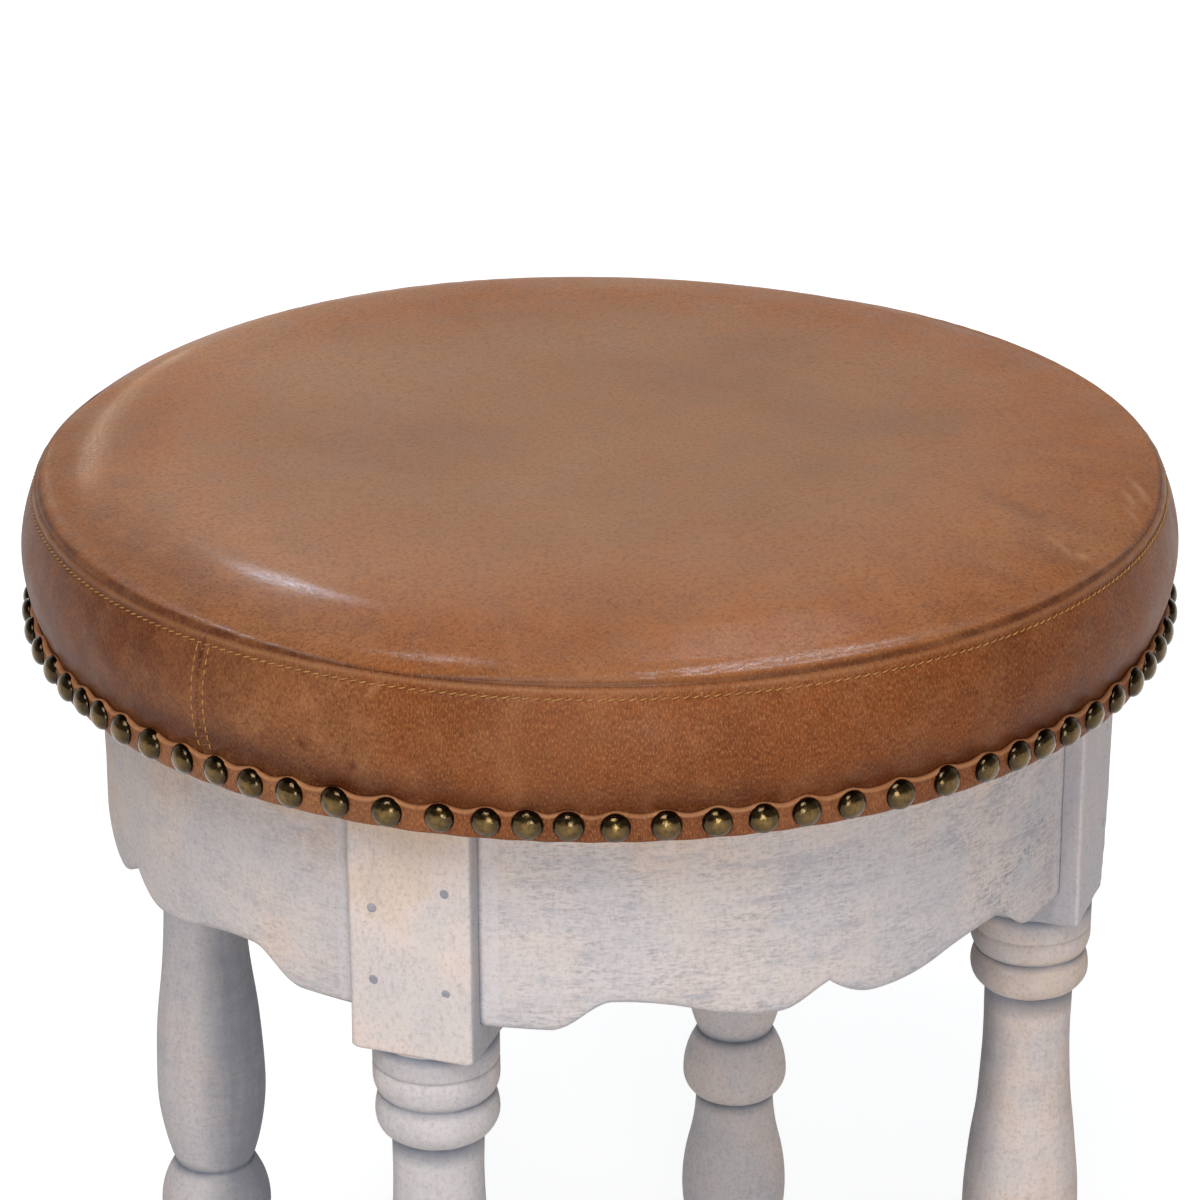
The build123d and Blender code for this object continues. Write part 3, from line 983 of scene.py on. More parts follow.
@dataclass
class ScallopedApron:
    """One curved apron between two blocks, with a scalloped lower edge worn round at the front."""

    side: Side
    outer: float = 177.0
    thickness: float = 20.0
    half_stock: float = 21.5
    seat_in: float = 0.2
    cusp_rise: float = 9.6
    cusp_soft: tuple = (0.6, 0.15)
    lobe_reach: float = 18.0
    lobe_rise: float = 2.0
    notch_reach: float = 71.0
    notch_rise: float = 10.6
    step_reach: float = 90.0
    front_round: float = 2.6
    back_round: float = 1.0
    uneven: float = 0.18
    uneven_lengths: tuple = (55.0, 40.0)
    # Painted shade towards one end of the apron.
    shade: float = 0.0
    warmth: float = 0.1
    rubbed: float = 1.0
    columns: int = 321

    def scallop(self, across: Array) -> Array:
        """Rise of the lower edge over the board's full depth: arcs from the cusp to the notch, then an ogee step.

        Args:
            across: Distance from the apron's middle.

        Returns:
            The rise at each place.
        """
        reach = np.abs(across)
        half = (self.notch_reach - self.lobe_reach) / 2
        gain = (self.notch_rise - self.lobe_rise) / 2
        peak = self.cusp_rise - self.lobe_rise
        sharp = self.lobe_rise + arc_sag(self.lobe_reach - reach, self.lobe_reach, peak)
        ogee = self.lobe_rise + peak * (1 + np.cos(math.pi * np.clip(reach / self.lobe_reach, 0, 1))) / 2
        soft = np.where(across < 0, *self.cusp_soft)
        cusp = sharp * (1 - soft) + soft * ogee
        lobe = self.lobe_rise + arc_sag(reach - self.lobe_reach, half, gain)
        notch = self.notch_rise - arc_sag(self.notch_reach - reach, half, gain)
        step = self.notch_rise * (1 + np.cos(math.pi * climb(reach, self.notch_reach, self.step_reach))) / 2
        ends = (self.lobe_reach, self.lobe_reach + half, self.notch_reach, self.step_reach)
        return np.select([reach < end for end in ends], [cusp, lobe, notch, step], 0.0)

    def section(self) -> Array:
        """Closed cross-section: depth behind the face, share of the height and lift over the lower edge.

        Returns:
            Array of shape (points, 3).
        """
        turn = np.linspace(0, 2 * EIGHTH, 7)
        rise, level = 1 - np.sin(turn), 1 - np.cos(turn)
        front, back = self.front_round, self.back_round
        parts = [
            (np.zeros(9), np.linspace(1, 0.06, 9), np.zeros(9)),
            (front * 0.7 * level, turn * 0, front * rise),
            (self.thickness - back * rise, turn * 0, back * level),
            (np.full(5, self.thickness), np.linspace(0.1, 1, 5), np.zeros(5)),
        ]
        return np.vstack([np.stack(part, axis=1) for part in parts])

    def marks(self, share: Array, inward: Array, lift: Array, rise: Array, drop: Array) -> dict[str, Array]:
        """What the finish reads: dirt in the joints and on the edge, painted shade at one end, pale joint lines,
        painted warm light towards the seat.

        Args:
            share: Place of each column between the blocks, from -1 to 1.
            inward: Distance of each point from its block.
            lift: Height over the lower edge.
            rise: Share of the apron's whole height.
            drop: Height over the apron's top, which is below 0.

        Returns:
            Values for each point, by attribute name.
        """
        far = share[:, None] * np.ones(lift.shape)
        # Darker at the joints and lower edge; the shade term is painted shade towards one end.
        dirt_and_shade = np.clip(1 - inward / 1.6, 0, 1) + 0.25 * bump(lift, 2.0) + self.shade * np.clip(far, 0, 1)
        pale = np.clip((inward - 1.2) / 0.8, 0, 1) * np.clip((7.5 - inward) / 1.2, 0, 1)
        # Warmer towards the top and under the seat: painted warm bounce light from the leather.
        warm = np.clip(rise * 2.6 - 1.5, 0, 0.9) + 0.7 * seat_bounce(drop, 0.0) + self.warmth
        rub = (1 + 0.5 * np.clip(far * 1.4, 0, 1)) * self.rubbed
        return {"dirt_and_shade": dirt_and_shade, "pale": pale, "warm": warm, "rub": rub, "upright": np.full(lift.shape, 0.25)}

    def build(self, finish: Material) -> None:
        """Makes the apron: its cross-section carried round the stool from block to block.

        Args:
            finish: Material of the apron.
        """
        low, high = (corner[2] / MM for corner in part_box(f"apron_{self.side.node}"))
        section = self.section()
        radius = self.outer - section[:, 0]
        ends = EIGHTH - np.arcsin((self.half_stock - self.seat_in) / radius)
        share = np.linspace(-1, 1, self.columns)
        turn = share[:, None] * ends[None, :]
        edge = low + self.scallop(radius * np.sin(turn))
        z = edge + (high - edge) * section[:, 1] + section[:, 2]
        along, up = self.uneven_lengths
        waves = wander(int(self.side.value) + 7, radius * turn / along, z / up)
        local = round_points(radius + self.uneven * waves * (section[:, 1] < 0.99), turn, z)
        inward = (1 - np.abs(share))[:, None] * self.outer * ends[0] * np.ones(len(section))
        rows, cols = z.shape
        faces = grid_quads(rows, cols, wrap_cols=True).tolist()
        faces += [list(range(cols))[::-1], list(range((rows - 1) * cols, rows * cols))]
        marks = self.marks(share, inward, z - edge, (z - low) / (high - low), z - high)
        add_piece(f"scalloped_apron_{self.side.node}", turned(local, self.side.value), faces, finish,
                  marks, (f"apron_{self.side.node}",))


@dataclass(frozen=True)
class SeatPlan:
    """Heights and radii of the seat in millimetres, read from the frame, and the bearing of the band's joint."""

    strip_low: float
    strip_high: float
    strip_outer: float
    band_radius: float
    seam: float
    seam_radius: float
    crown: float
    band_swell: float = 4.7
    joint: float = -154.6

    @classmethod
    def from_frame(cls) -> "SeatPlan":
        """Reads the places off the CAD nodes."""
        strip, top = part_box("leather_strip"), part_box("leather_top")
        return cls(strip[0][2] / MM, strip[1][2] / MM, strip[1][0] / MM, strip[1][0] / MM - LEATHER,
                   top[0][2] / MM, top[1][0] / MM, (top[1][2] - top[0][2]) / MM + 0.2)

    def crown_height(self, share: Array) -> Array:
        """Height of the crown over the seam at a share of the seam's radius: flat, then rolling over."""
        return self.crown * np.sqrt(np.maximum(1 - share**3, 0))

    def band_reach(self, level: Array) -> Array:
        """Radius of the swelling band: a parabola over a straight taper.

        Args:
            level: Heights over the floor.

        Returns:
            The radius at each height.
        """
        rise = climb(level, self.strip_high, self.seam)
        straight = self.band_radius + (self.seam_radius - self.band_radius) * rise
        return straight + 4 * self.band_swell * rise * (1 - rise)

    def along(self, turn: Array, bearing: float) -> Array:
        """Distance round the band from a bearing to each turn."""
        return np.radians(apart(turn, bearing)) * self.band_radius


@dataclass
class NailRow:
    """The row of domed brass nails; their places wander a little from an even pitch, in degrees."""

    count: int = 82
    start: float = -179.1
    slow: tuple = (0.68, 7, 8.0)
    fast: tuple = (0.48, 14, 24.0)
    radius: float = 5.1
    height: float = 3.4
    rise: float = 6.0
    size_spread: float = 0.02
    depth_spread: float = 0.12
    tilt_spread: float = 0.05
    level_spread: float = 0.22
    columns: int = 28
    seed: int = 5

    def angles(self) -> Array:
        """Places of the nails: an even pitch and two small waves.

        Returns:
            The bearing of each nail.
        """
        even = 360 * np.arange(self.count) / self.count
        waves = [size * np.cos(np.radians(times * even + lead)) for size, times, lead in (self.slow, self.fast)]
        return self.start + even + sum(waves)

    def gap(self, turn: Array) -> Array:
        """Angle in degrees from each turn to its nearest nail."""
        return np.abs(apart(turn[..., None], self.angles())).min(axis=-1)

    def build(self, seat: SeatPlan, finish: Material) -> None:
        """Makes every nail at once: a dome of rings, set on the strip at its own angle.

        Args:
            seat: Places of the seat.
            finish: Material of the nails.
        """
        rng = np.random.default_rng(self.seed)
        turn = whole_turn(self.columns, 0.0)
        lean = np.linspace(2 * EIGHTH, 0, 9)
        share = np.concatenate([[0.0, 0.86, 1.0], np.sin(lean)[1:]])
        lift = np.concatenate([[-0.5, -0.5, -0.1], self.height * np.cos(lean)[1:] ** 0.9])
        size = rng.normal(1, self.size_spread, self.count)[:, None, None]
        across, up = (self.radius * size * share[:, None] * wave(turn) for wave in (np.cos, np.sin))
        out = lift[:, None] + rng.normal(0, self.depth_spread, self.count)[:, None, None]
        tip = rng.normal(0, self.tilt_spread, (2, self.count))[:, :, None, None]
        out = out + tip[0] * across + tip[1] * up
        angle = np.radians(self.angles())[:, None, None]
        level = seat.strip_low + self.rise + rng.normal(0, self.level_spread, self.count)[:, None, None]
        points = round_points(seat.strip_outer + out, angle, level + up)
        points[..., 0] -= across * np.sin(angle)
        points[..., 1] += across * np.cos(angle)
        rubbed = np.broadcast_to(np.clip(1.0 - share, 0, 1)[:, None] ** 0.8, across.shape)
        faces = repeated(grid_quads(len(share), len(turn), wrap_cols=True), self.count, len(share) * len(turn))
        add_piece("nail_row", points, faces, finish, {"rubbed": rubbed}, ("brass_nails",))


@dataclass
class PanelSwell:
    """Cloth simulation of the top panel: a disc of leather held at its seam and pushed up by the foam."""

    plan: SeatPlan
    side: int = 73
    frames: int = 20
    quality: int = 8
    mass: float = 0.5
    tension: float = 40.0
    shear: float = 20.0
    bending: float = 4.0
    pressure: float = 4.0
    most: float = 2.4

    def start(self, share: Array) -> Array:
        """Height of the slack panel over the seam: the finished crown less the swell that it will gain."""
        return self.plan.crown_height(share) - self.most * (1 - share**2)

    def disc(self) -> Array:
        """Square grid bent to a disc: each axis shrinks by the square root of one less half the other's square.

        Returns:
            Array of shape (side, side, 3).
        """
        even = np.linspace(-1, 1, self.side)
        s, t = np.meshgrid(even, even, indexing="ij")
        x, y = s * np.sqrt(1 - t**2 / 2), t * np.sqrt(1 - s**2 / 2)
        height = self.plan.seam + self.start(np.minimum(np.hypot(x, y), 1))
        return np.stack([x * self.plan.seam_radius, y * self.plan.seam_radius, height], axis=-1)

    def simulate(self) -> Array:
        """Runs the cloth.

        Returns:
            How far each point of the grid rose, held to the most it may move.
        """
        disc = self.disc()
        mesh = bpy.data.meshes.new("slack_panel")
        mesh.from_pydata((disc.reshape(-1, 3) * MM).tolist(), [], grid_quads(self.side, self.side).tolist())
        panel = new_object("slack_panel", mesh)
        rim = np.zeros((self.side, self.side), bool)
        rim[[0, -1], :] = rim[:, [0, -1]] = True
        sewn = panel.vertex_groups.new(name="sewn")
        sewn.add(np.flatnonzero(rim.ravel()).tolist(), 1.0, "REPLACE")
        cloth = panel.modifiers.new("swell", "CLOTH")
        settings = cloth.settings
        settings.quality = self.quality
        settings.mass = self.mass
        settings.tension_stiffness = settings.compression_stiffness = self.tension
        settings.shear_stiffness = self.shear
        settings.bending_stiffness = self.bending
        settings.use_pressure = True
        settings.uniform_pressure_force = self.pressure
        settings.vertex_group_mass = "sewn"
        settings.effector_weights.gravity = 0
        cloth.collision_settings.use_collision = False
        cloth.point_cache.frame_start, cloth.point_cache.frame_end = 1, self.frames
        scene = bpy.context.scene
        for frame in range(1, self.frames + 1):
            scene.frame_set(frame)
        shown = panel.evaluated_get(bpy.context.evaluated_depsgraph_get())
        places = np.empty(disc.size, np.float32)
        shown.data.vertices.foreach_get("co", places)
        scene.frame_set(1)
        bpy.data.objects.remove(panel)
        bpy.data.meshes.remove(mesh)
        rise = places.reshape(disc.shape)[..., 2] / MM - disc[..., 2]
        LOG.info("cloth panel rose by %.2f to %.2f mm", rise.min(), rise.max())
        return np.clip(rise, -self.most, self.most)

    def rise(self, x: Array, y: Array) -> Array:
        """Swell at places given as shares of the seam's radius, read off the simulated grid by a cubic B-spline.

        Args:
            x: Share across.
            y: Share along.

        Returns:
            Rise over the slack panel in millimetres.
        """
        grid = self.simulate()
        twice, lean = 2 * math.sqrt(2), x**2 - y**2
        s = half_root(2 + lean + twice * x) - half_root(2 + lean - twice * x)
        t = half_root(2 - lean + twice * y) - half_root(2 - lean - twice * y)
        last = self.side - 1
        steps = [np.clip((a + 1) / 2, 0, 1) * last for a in (s, t)]
        base = [np.floor(a).astype(int) for a in steps]
        part = [a - b for a, b in zip(steps, base)]
        weights = [[(1 - f) ** 3 / 6, (3 * f**3 - 6 * f**2 + 4) / 6, (-3 * f**3 + 3 * f**2 + 3 * f + 1) / 6, f**3 / 6]
                   for f in part]
        total = np.zeros(x.shape)
        for i, j in np.ndindex(4, 4):
            row, col = np.clip(base[0] + i - 1, 0, last), np.clip(base[1] + j - 1, 0, last)
            total = total + weights[0][i] * weights[1][j] * grid[row, col]
        return total


@dataclass(frozen=True)
class Patch:
    """A soft patch round the seat: its bearing and width in degrees, and its strength."""

    bearing: float
    width: float
    strength: float

    def at(self, turn: Array) -> Array:
        """The patch's strength at each turn."""
        return self.strength * near(turn, self.bearing, self.width)


@dataclass(frozen=True)
class Spot:
    """A soft spot on a surface: its two coordinates, its width and its strength."""

    x: float
    y: float
    width: float
    strength: float

    def at(self, x: Array, y: Array) -> Array:
        """The spot's strength at each place."""
        return self.strength * bump(np.hypot(x - self.x, y - self.y), self.width)


@dataclass(frozen=True)
class Crease:
    """A short bowed dent in the hide: its two ends, its width and its depth."""

    x0: float
    y0: float
    x1: float
    y1: float
    width: float
    depth: float
    bow: float = 1.2

    def at(self, x: Array, y: Array) -> Array:
        """Depth of the dent: a bell curve across its line, fading at its ends.

        Args:
            x: Places across the seat.
            y: Places along the seat.

        Returns:
            The depth at each place.
        """
        run, step = self.x1 - self.x0, self.y1 - self.y0
        length = math.hypot(run, step)
        share = ((x - self.x0) * run + (y - self.y0) * step) / length / length
        across = ((x - self.x0) * step - (y - self.y0) * run) / length + self.bow * np.sin(math.pi * share)
        return self.depth * bump(across, self.width) * np.clip(4 * share * (1 - share), 0, 1)


@dataclass
class SeatCover:
    """The leather cover: a crowned top panel, a side band with its upright joint, and the nailed strip."""

    plan: SeatPlan
    columns: int = 640
    strip_columns: int = 1640
    top_rows: int = 120
    band_rows: int = 90
    gathers: int = 96
    gather_depth: float = 0.16
    gather_reach: float = 6.0
    edge_roll: tuple = (163.0, 9.0, 0.3)
    full_side: Patch = Patch(92.0, 50.0, 2.8)
    full_band: Patch = Patch(-25.0, 42.0, 0.4)
    creases: tuple = (
        Crease(97.5, -140.0, 98.5, -160.0, 1.1, 0.3),
        Crease(153.9, -102.8, 149.5, -123.1, 1.6, 0.35),
        Crease(145.5, -112.0, 141.0, -128.0, 1.6, 0.3),
        Crease(137.9, -121.5, 136.7, -137.2, 1.5, 0.25),
    )
    folds: tuple = (Crease(94.0, -100.0, 100.5, -143.0, 4.5, 0.4),)
    slope: tuple = (150.0, 180.0)
    top_stains: tuple = (Patch(-172.0, 34.0, 0.6), Patch(-128.0, 22.0, 0.18), Patch(-62.0, 30.0, 0.35))
    top_cloud: Spot = Spot(-105.0, 25.0, 60.0, 0.14)
    top_rub: Patch = Patch(-112.0, 16.0, 0.2)
    top_scuff: Spot = Spot(101.9, -156.9, 2.2, 0.9)
    seam_shines: tuple = (Patch(-108.0, 9.0, 1.0), Patch(-131.0, 7.0, 1.0), Patch(-87.0, 8.0, 1.0))
    left_shine: Patch = Patch(-152.0, 12.0, 0.55)
    back_shine: Patch = Patch(157.0, 17.0, 0.3)
    band_end: Patch = Patch(-172.0, 30.0, 1.0)
    band_stain: Patch = Patch(-60.0, 24.0, 0.3)
    band_spots: tuple = ((-137.9, 410.8, 1.1), (-142.7, 415.2, 0.9), (-128.0, 404.5, 0.8))
    band_rubs: tuple = (Patch(-120.0, 10.0, 0.1), Patch(-26.0, 15.0, 0.25))
    band_scuff: tuple = (-135.9, 437.4)

    def turns(self) -> Array:
        """Turns of the band's columns, closer together by the upright joint."""
        close = math.radians(self.plan.joint) + np.linspace(-7, 7, 47) / self.plan.band_radius
        return np.unique(np.round(np.concatenate([whole_turn(self.columns), close]), 5))

    def pucker(self, away: Array, turn: Array) -> Array:
        """Small gathers by the seam: waves round the seat that fade with the distance from the stitches.

        Args:
            away: Distance from the stitches.
            turn: Turns round the seat.

        Returns:
            How far the leather stands out.
        """
        c, s = np.cos(turn), np.sin(turn)
        gather = np.sin(turn * self.gathers + 2.2 * wander(41, c * 3, s * 3))
        loose = 0.55 + 0.45 * wander(42, c * 1.5, s * 1.5)
        return self.gather_depth * gather * loose * np.exp(-np.abs(away) / self.gather_reach)

    def fullness(self, share: Array, turn: Array) -> Array:
        """Extra stuffing along one side's edge: a hump near the seam that fades round the seat."""
        hump = share**8 * np.sqrt(np.maximum(1 - share**8, 0)) / 0.38
        return hump * self.full_side.at(turn)

    def flow(self, turn: Array, down: Array) -> Array:
        """Coordinates that follow the hide, in metres: arc round the seat, and distance down the surface."""
        return np.stack([turn * self.plan.band_radius, down, 0 * down], axis=-1) * MM

    def top_height(self, share: Array, turn: Array) -> Array:
        """Height of the top panel: simulated crown, edge roll, fuller side, waves, gathers, less the creases.

        Args:
            share: Share of the seam's radius for each row.
            turn: Turn of each column.

        Returns:
            The height for each row and column.
        """
        reach = self.plan.seam_radius
        x, y = reach * share * np.cos(turn), reach * share * np.sin(turn)
        swell = PanelSwell(self.plan)
        height = self.plan.seam + swell.start(share) + swell.rise(x / reach, y / reach)
        ring, width, rise = self.edge_roll
        height = height + rise * bump(reach * share - ring, width) + self.fullness(share, turn)
        waves = 0.5 * wander(31, x / 170, y / 170) + 0.12 * wander(32, x / 60, y / 60)
        away = (1 - share) * reach
        height = height + (1 - share**4) * waves + self.pucker(away + 1.5, turn) * np.minimum(away / 2, 1)
        return height - sum(line.at(x, y) for line in self.creases + self.folds)

    def top_marks(self, points: Array) -> dict[str, Array]:
        """What the finish reads on the top panel: stains, painted shade along the fold, wear, grain, painted sheen,
        shine and the run of the hide.

        Args:
            points: Places of the panel.

        Returns:
            Values for each point, by attribute name.
        """
        x, y = points[..., 0], points[..., 1]
        reach, turn = np.hypot(x, y), np.arctan2(y, x)
        slope = climb(reach, *self.slope)
        stain = slope * sum(patch.at(turn) for patch in self.top_stains)
        # Along the fold the hide is darkened: painted shade in the fold.
        stain = stain + 0.8 * sum(line.at(x, y) for line in self.folds) + self.top_cloud.at(x, y)
        stain = stain + 0.9 * bump(reach - self.plan.seam_radius, 1.3)
        worn = np.clip(sum(line.at(x + 1.5, y) for line in self.creases) * 2.2, 0, 0.8)
        worn = worn + slope * self.top_rub.at(turn) + self.top_scuff.at(x, y)
        shine = bump(self.plan.seam_radius - 6.0 - reach, 5.5) * sum(patch.at(turn) for patch in self.seam_shines)
        shine = shine + bump(reach - 165, 9.0) * self.left_shine.at(turn)
        shine = shine + bump(reach - 177, 7.0) * self.back_shine.at(turn)
        # Grain is weak in the middle, which also lays the painted sheen there.
        grain = 0.15 + 0.85 * np.clip((reach - 75) / 108, 0, 1) ** 1.4
        return {"worn": worn, "stain": np.clip(stain, 0, 1), "grain": grain, "shine": shine,
                "flow": self.flow(turn, reach)}

    def top(self, finish: Material) -> None:
        """Makes the top panel: the simulated crown over rings that crowd towards the seam, and its inner side.

        Args:
            finish: Material of the panel.
        """
        turn = whole_turn(self.columns)[None, :]
        share = 1 - (1 - np.linspace(0, 1, self.top_rows)[:, None]) ** 2.2
        panel = round_points(self.plan.seam_radius * share, turn, self.top_height(share, turn))
        tuck = np.array([[0.3, 0.5], [0.9, 1.2], [2.0, 2.8]])[:, :, None]
        rim = round_points(self.plan.seam_radius - tuck[:, 0], turn, self.plan.seam - tuck[:, 1])
        points = np.concatenate([panel, rim])
        under = points[::-6].copy()
        under[..., 2] -= LEATHER
        under[..., :2] *= 1 - 0.4 * LEATHER / self.plan.seam_radius
        under[-1] = (0, 0, under[-1, :, 2].mean())
        points = np.concatenate([points, under])
        faces = grid_quads(*points.shape[:2], wrap_cols=True)[:, ::-1].tolist()
        piece = add_piece("leather_top_panel", points, faces, finish, self.top_marks(points),
                          ("leather_top", "foam_pad"))

    def band_marks(self, points: Array) -> dict[str, Array]:
        """What the finish reads on the band: stains, painted shade towards the strip, wear, grain and the run of the
        hide.

        Args:
            points: Places of the band.

        Returns:
            Values for each point, by attribute name.
        """
        plan, level = self.plan, points[..., 2]
        turn = np.arctan2(points[..., 1], points[..., 0])
        # Darker towards the strip, where the band tucks under: painted shade.
        low = bump(np.maximum(level - plan.strip_high, 0), 8.0)
        stain = 0.25 + 0.5 * low + (0.62 + 0.4 * low) * self.band_end.at(turn) + self.band_stain.at(turn)
        stain = stain + 0.5 * bump(plan.along(turn, plan.joint), 0.7)
        stain = stain + 0.8 * np.exp(-np.maximum(plan.seam - level, 0) / 0.5)
        for bearing, height, width in self.band_spots:
            stain = stain + Spot(0.0, height, width, 1.2).at(plan.along(turn, bearing), level)
        bearing, height = self.band_scuff
        worn = 0.35 * bump(plan.seam - level - 1.4, 0.9) + sum(patch.at(turn) for patch in self.band_rubs)
        lean = plan.along(turn, bearing) - 0.6 * (level - height)
        worn = worn + 0.6 * bump(lean, 1.2) * bump(level - height, 3.0)
        return {"worn": np.clip(worn, 0, 1), "stain": np.clip(stain, 0, 1), "grain": np.ones(level.shape),
                "flow": self.flow(turn, level)}

    def band(self, finish: Material) -> None:
        """Makes the side band: its swell, the ridge under the seam, the stitch groove and the upright joint.

        Args:
            finish: Material of the band.
        """
        plan, turn = self.plan, self.turns()[None, :]
        run = np.linspace(0, 1, self.band_rows)[:, None]
        height = plan.strip_low + (plan.seam - 0.4 - plan.strip_low) * (1 - (1 - run) ** 1.7)
        radius = plan.band_reach(height)
        x, y = radius * np.cos(turn), radius * np.sin(turn)
        below = plan.seam - height
        ridge = 0.5 * bump(below - 1.3, 0.9) - 0.3 * bump(below - 3.8, 0.7) - 1.3 * np.exp(-below / 0.4)
        free = np.sin(math.pi * climb(height, plan.strip_high, plan.seam))
        soft = 0.4 * wander(33, x / 110, y / 110, height / 60) + 0.12 * wander(34, x / 40, y / 40, height / 45)
        along = plan.along(turn, plan.joint)
        lap = 0.4 * bump(np.abs(along) - 1.1, 0.8) - 0.4 * bump(along, 0.45) - 0.15 * bump(np.abs(along) - 2.5, 0.5)
        radius = radius + ridge + free * (soft + self.full_band.at(turn)) + self.pucker(below, turn) + lap
        outer = round_points(radius, turn, height)
        inner = round_points(radius[::-5] - LEATHER, turn, height[::-5])
        points = np.concatenate([outer, inner])
        faces = grid_quads(*points.shape[:2], wrap_rows=True, wrap_cols=True).tolist()
        add_piece("leather_side_band", points, faces, finish, self.band_marks(points),
                  ("leather_band",))

    def strip(self, nails: NailRow, finish: Material) -> None:
        """Makes the nailed strip: a thin section whose lip rises over each nail and dips between.

        Args:
            nails: The row of nails that holds the strip.
            finish: Material of the strip.
        """
        turn, low = whole_turn(self.strip_columns), self.plan.strip_low
        pressed = bump(nails.gap(turn), 1.25)
        lip = self.plan.strip_high - 1.2 + 1.5 * pressed + 0.25 * wander(51, np.cos(turn) * 6, np.sin(turn) * 6)
        out = self.plan.strip_outer + 0.55 * (1 - pressed) - 0.15
        inside = self.plan.band_radius - 0.3
        levels = np.array([0.0, 0.04, 0.12, 0.5, 0.86, 0.95, 1.0, 1.0, 0.9, 0.0])[:, None]
        depth = np.array([0.35, 0.8, 1.0, 1.0, 1.0, 1.12, 0.85, 0.35, 0.0, 0.0])[:, None]
        height = low + (lip - low) * levels
        points = round_points(inside + (out - inside) * depth, turn, height)
        every = np.ones(height.shape)
        faces = grid_quads(*height.shape, wrap_rows=True, wrap_cols=True).tolist()
        # The lip's pale 'worn' share is a painted highlight along the strip's top edge.
        add_piece("leather_nail_strip", points, faces, finish,
                  {"worn": (levels > 0.9) * 0.6 * every, "stain": (levels < 0.9) * 0.3 * every, "grain": every,
                   "flow": self.flow(turn * every, height)}, ("leather_strip",))


@dataclass
class Stitching:
    """Sewn rows: short threads laid on the leather, each a thin bow that dips in at both ends."""

    plan: SeatPlan
    pitch: float = 3.3
    drop: float = 3.8
    joint_reach: float = 2.5
    cross_reach: float = 0.7
    slant: float = 0.35
    bulge: float = 0.35
    points: int = 6

    def bows(self, name: str, ends: tuple[Array, Array], turn: Array, bulge: float, finish: Material,
             thread: float = 0.27) -> None:
        """Makes many threads at once.

        Args:
            name: Name of the object.
            ends: First points and last points of the threads.
            turn: Turn of the direction out of the leather for each thread.
            bulge: Height of a thread's middle over its ends.
            finish: Material of the thread.
            thread: Radius of the thread.
        """
        count = self.points
        first, last = ends
        out = round_points(1.0, turn, 0.0)
        run = np.linspace(0, 1, count)[None, :, None]
        bow = out[:, None] * bulge * (4 * run * (1 - run) - 0.5)
        middle = first[:, None] * (1 - run) + last[:, None] * run + bow
        along = last - first
        along /= np.linalg.norm(along, axis=1, keepdims=True)
        across = np.cross(along, out)
        lean = whole_turn(count, 0.0)[:, None]
        thick = thread * np.sqrt(np.maximum(1 - (2 * run - 1) ** 4, 0.02))[..., None]
        ring = across[:, None, None] * np.cos(lean) + out[:, None, None] * np.sin(lean)
        caps = np.array([[5, 4, 3, 2], [5, 2, 1, 0], [30, 31, 32, 33], [30, 33, 34, 35]])
        one = np.vstack([grid_quads(count, count, wrap_cols=True), caps])
        faces = repeated(one[:, ::-1], len(first), count * count)
        add_piece(name, middle[:, :, None] + thick * ring, faces, finish)

    def on_band(self, turn: Array, level: Array) -> Array:
        """Points on the band at the given turns and heights."""
        return round_points(self.plan.band_reach(level), turn, level)

    def joint_levels(self, start: float) -> Array:
        """Heights of the threads along the band's joint, from a start over the strip."""
        return np.arange(self.plan.strip_high + start, self.plan.seam - self.drop - 2.0, self.pitch)

    def top_row(self, finish: Material) -> None:
        """Sews the gold row below the seam: even threads round the band, each slanting a little.

        Args:
            finish: Material of the thread.
        """
        count = int(TAU * self.plan.band_radius / self.pitch)
        turn = whole_turn(count)
        half = 0.4 * self.pitch / self.plan.band_radius
        level = np.full(count, self.plan.seam - self.drop)
        ends = self.on_band(turn - half, level - self.slant), self.on_band(turn + half, level + self.slant)
        self.bows("gold_top_stitch", ends, turn, self.bulge, finish)

    def joint_rows(self, finish: Material) -> None:
        """Sews two upright gold rows, one each side of the band's joint.

        Args:
            finish: Material of the thread.
        """
        levels = self.joint_levels(1.5)
        shift = self.joint_reach / self.plan.band_radius
        turn = np.repeat(math.radians(self.plan.joint) + np.array([-shift, shift]), len(levels))
        level = np.tile(levels, 2)
        ends = self.on_band(turn, level), self.on_band(turn, level + 0.8 * self.pitch)
        self.bows("gold_joint_stitch", ends, turn, self.bulge, finish)

    def joint_middle(self, finish: Material) -> None:
        """Sews the pale threads that cross the dark line of the joint, one to each pitch.

        Args:
            finish: Material of the thread.
        """
        level = self.joint_levels(2.5)
        turn = np.full(len(level), math.radians(self.plan.joint))
        reach = self.cross_reach / self.plan.band_radius
        ends = self.on_band(turn - reach, level), self.on_band(turn + reach, level + 0.9)
        self.bows("joint_cross_stitch", ends, turn, 0.2, finish)

    def seam_row(self, finish: Material) -> None:
        """Sews the dark threads that cross the seam from the top panel to the band.

        Args:
            finish: Material of the thread.
        """
        plan = self.plan
        turn = whole_turn(int(TAU * plan.seam_radius / self.pitch)) + 0.004
        high = round_points(plan.seam_radius - 0.7, turn, plan.seam + 0.75)
        low = round_points(plan.seam_radius + 0.1, turn + 0.002, plan.seam - 0.7)
        self.bows("seam_stitch", (high, low), turn, 0.05, finish, 0.2)


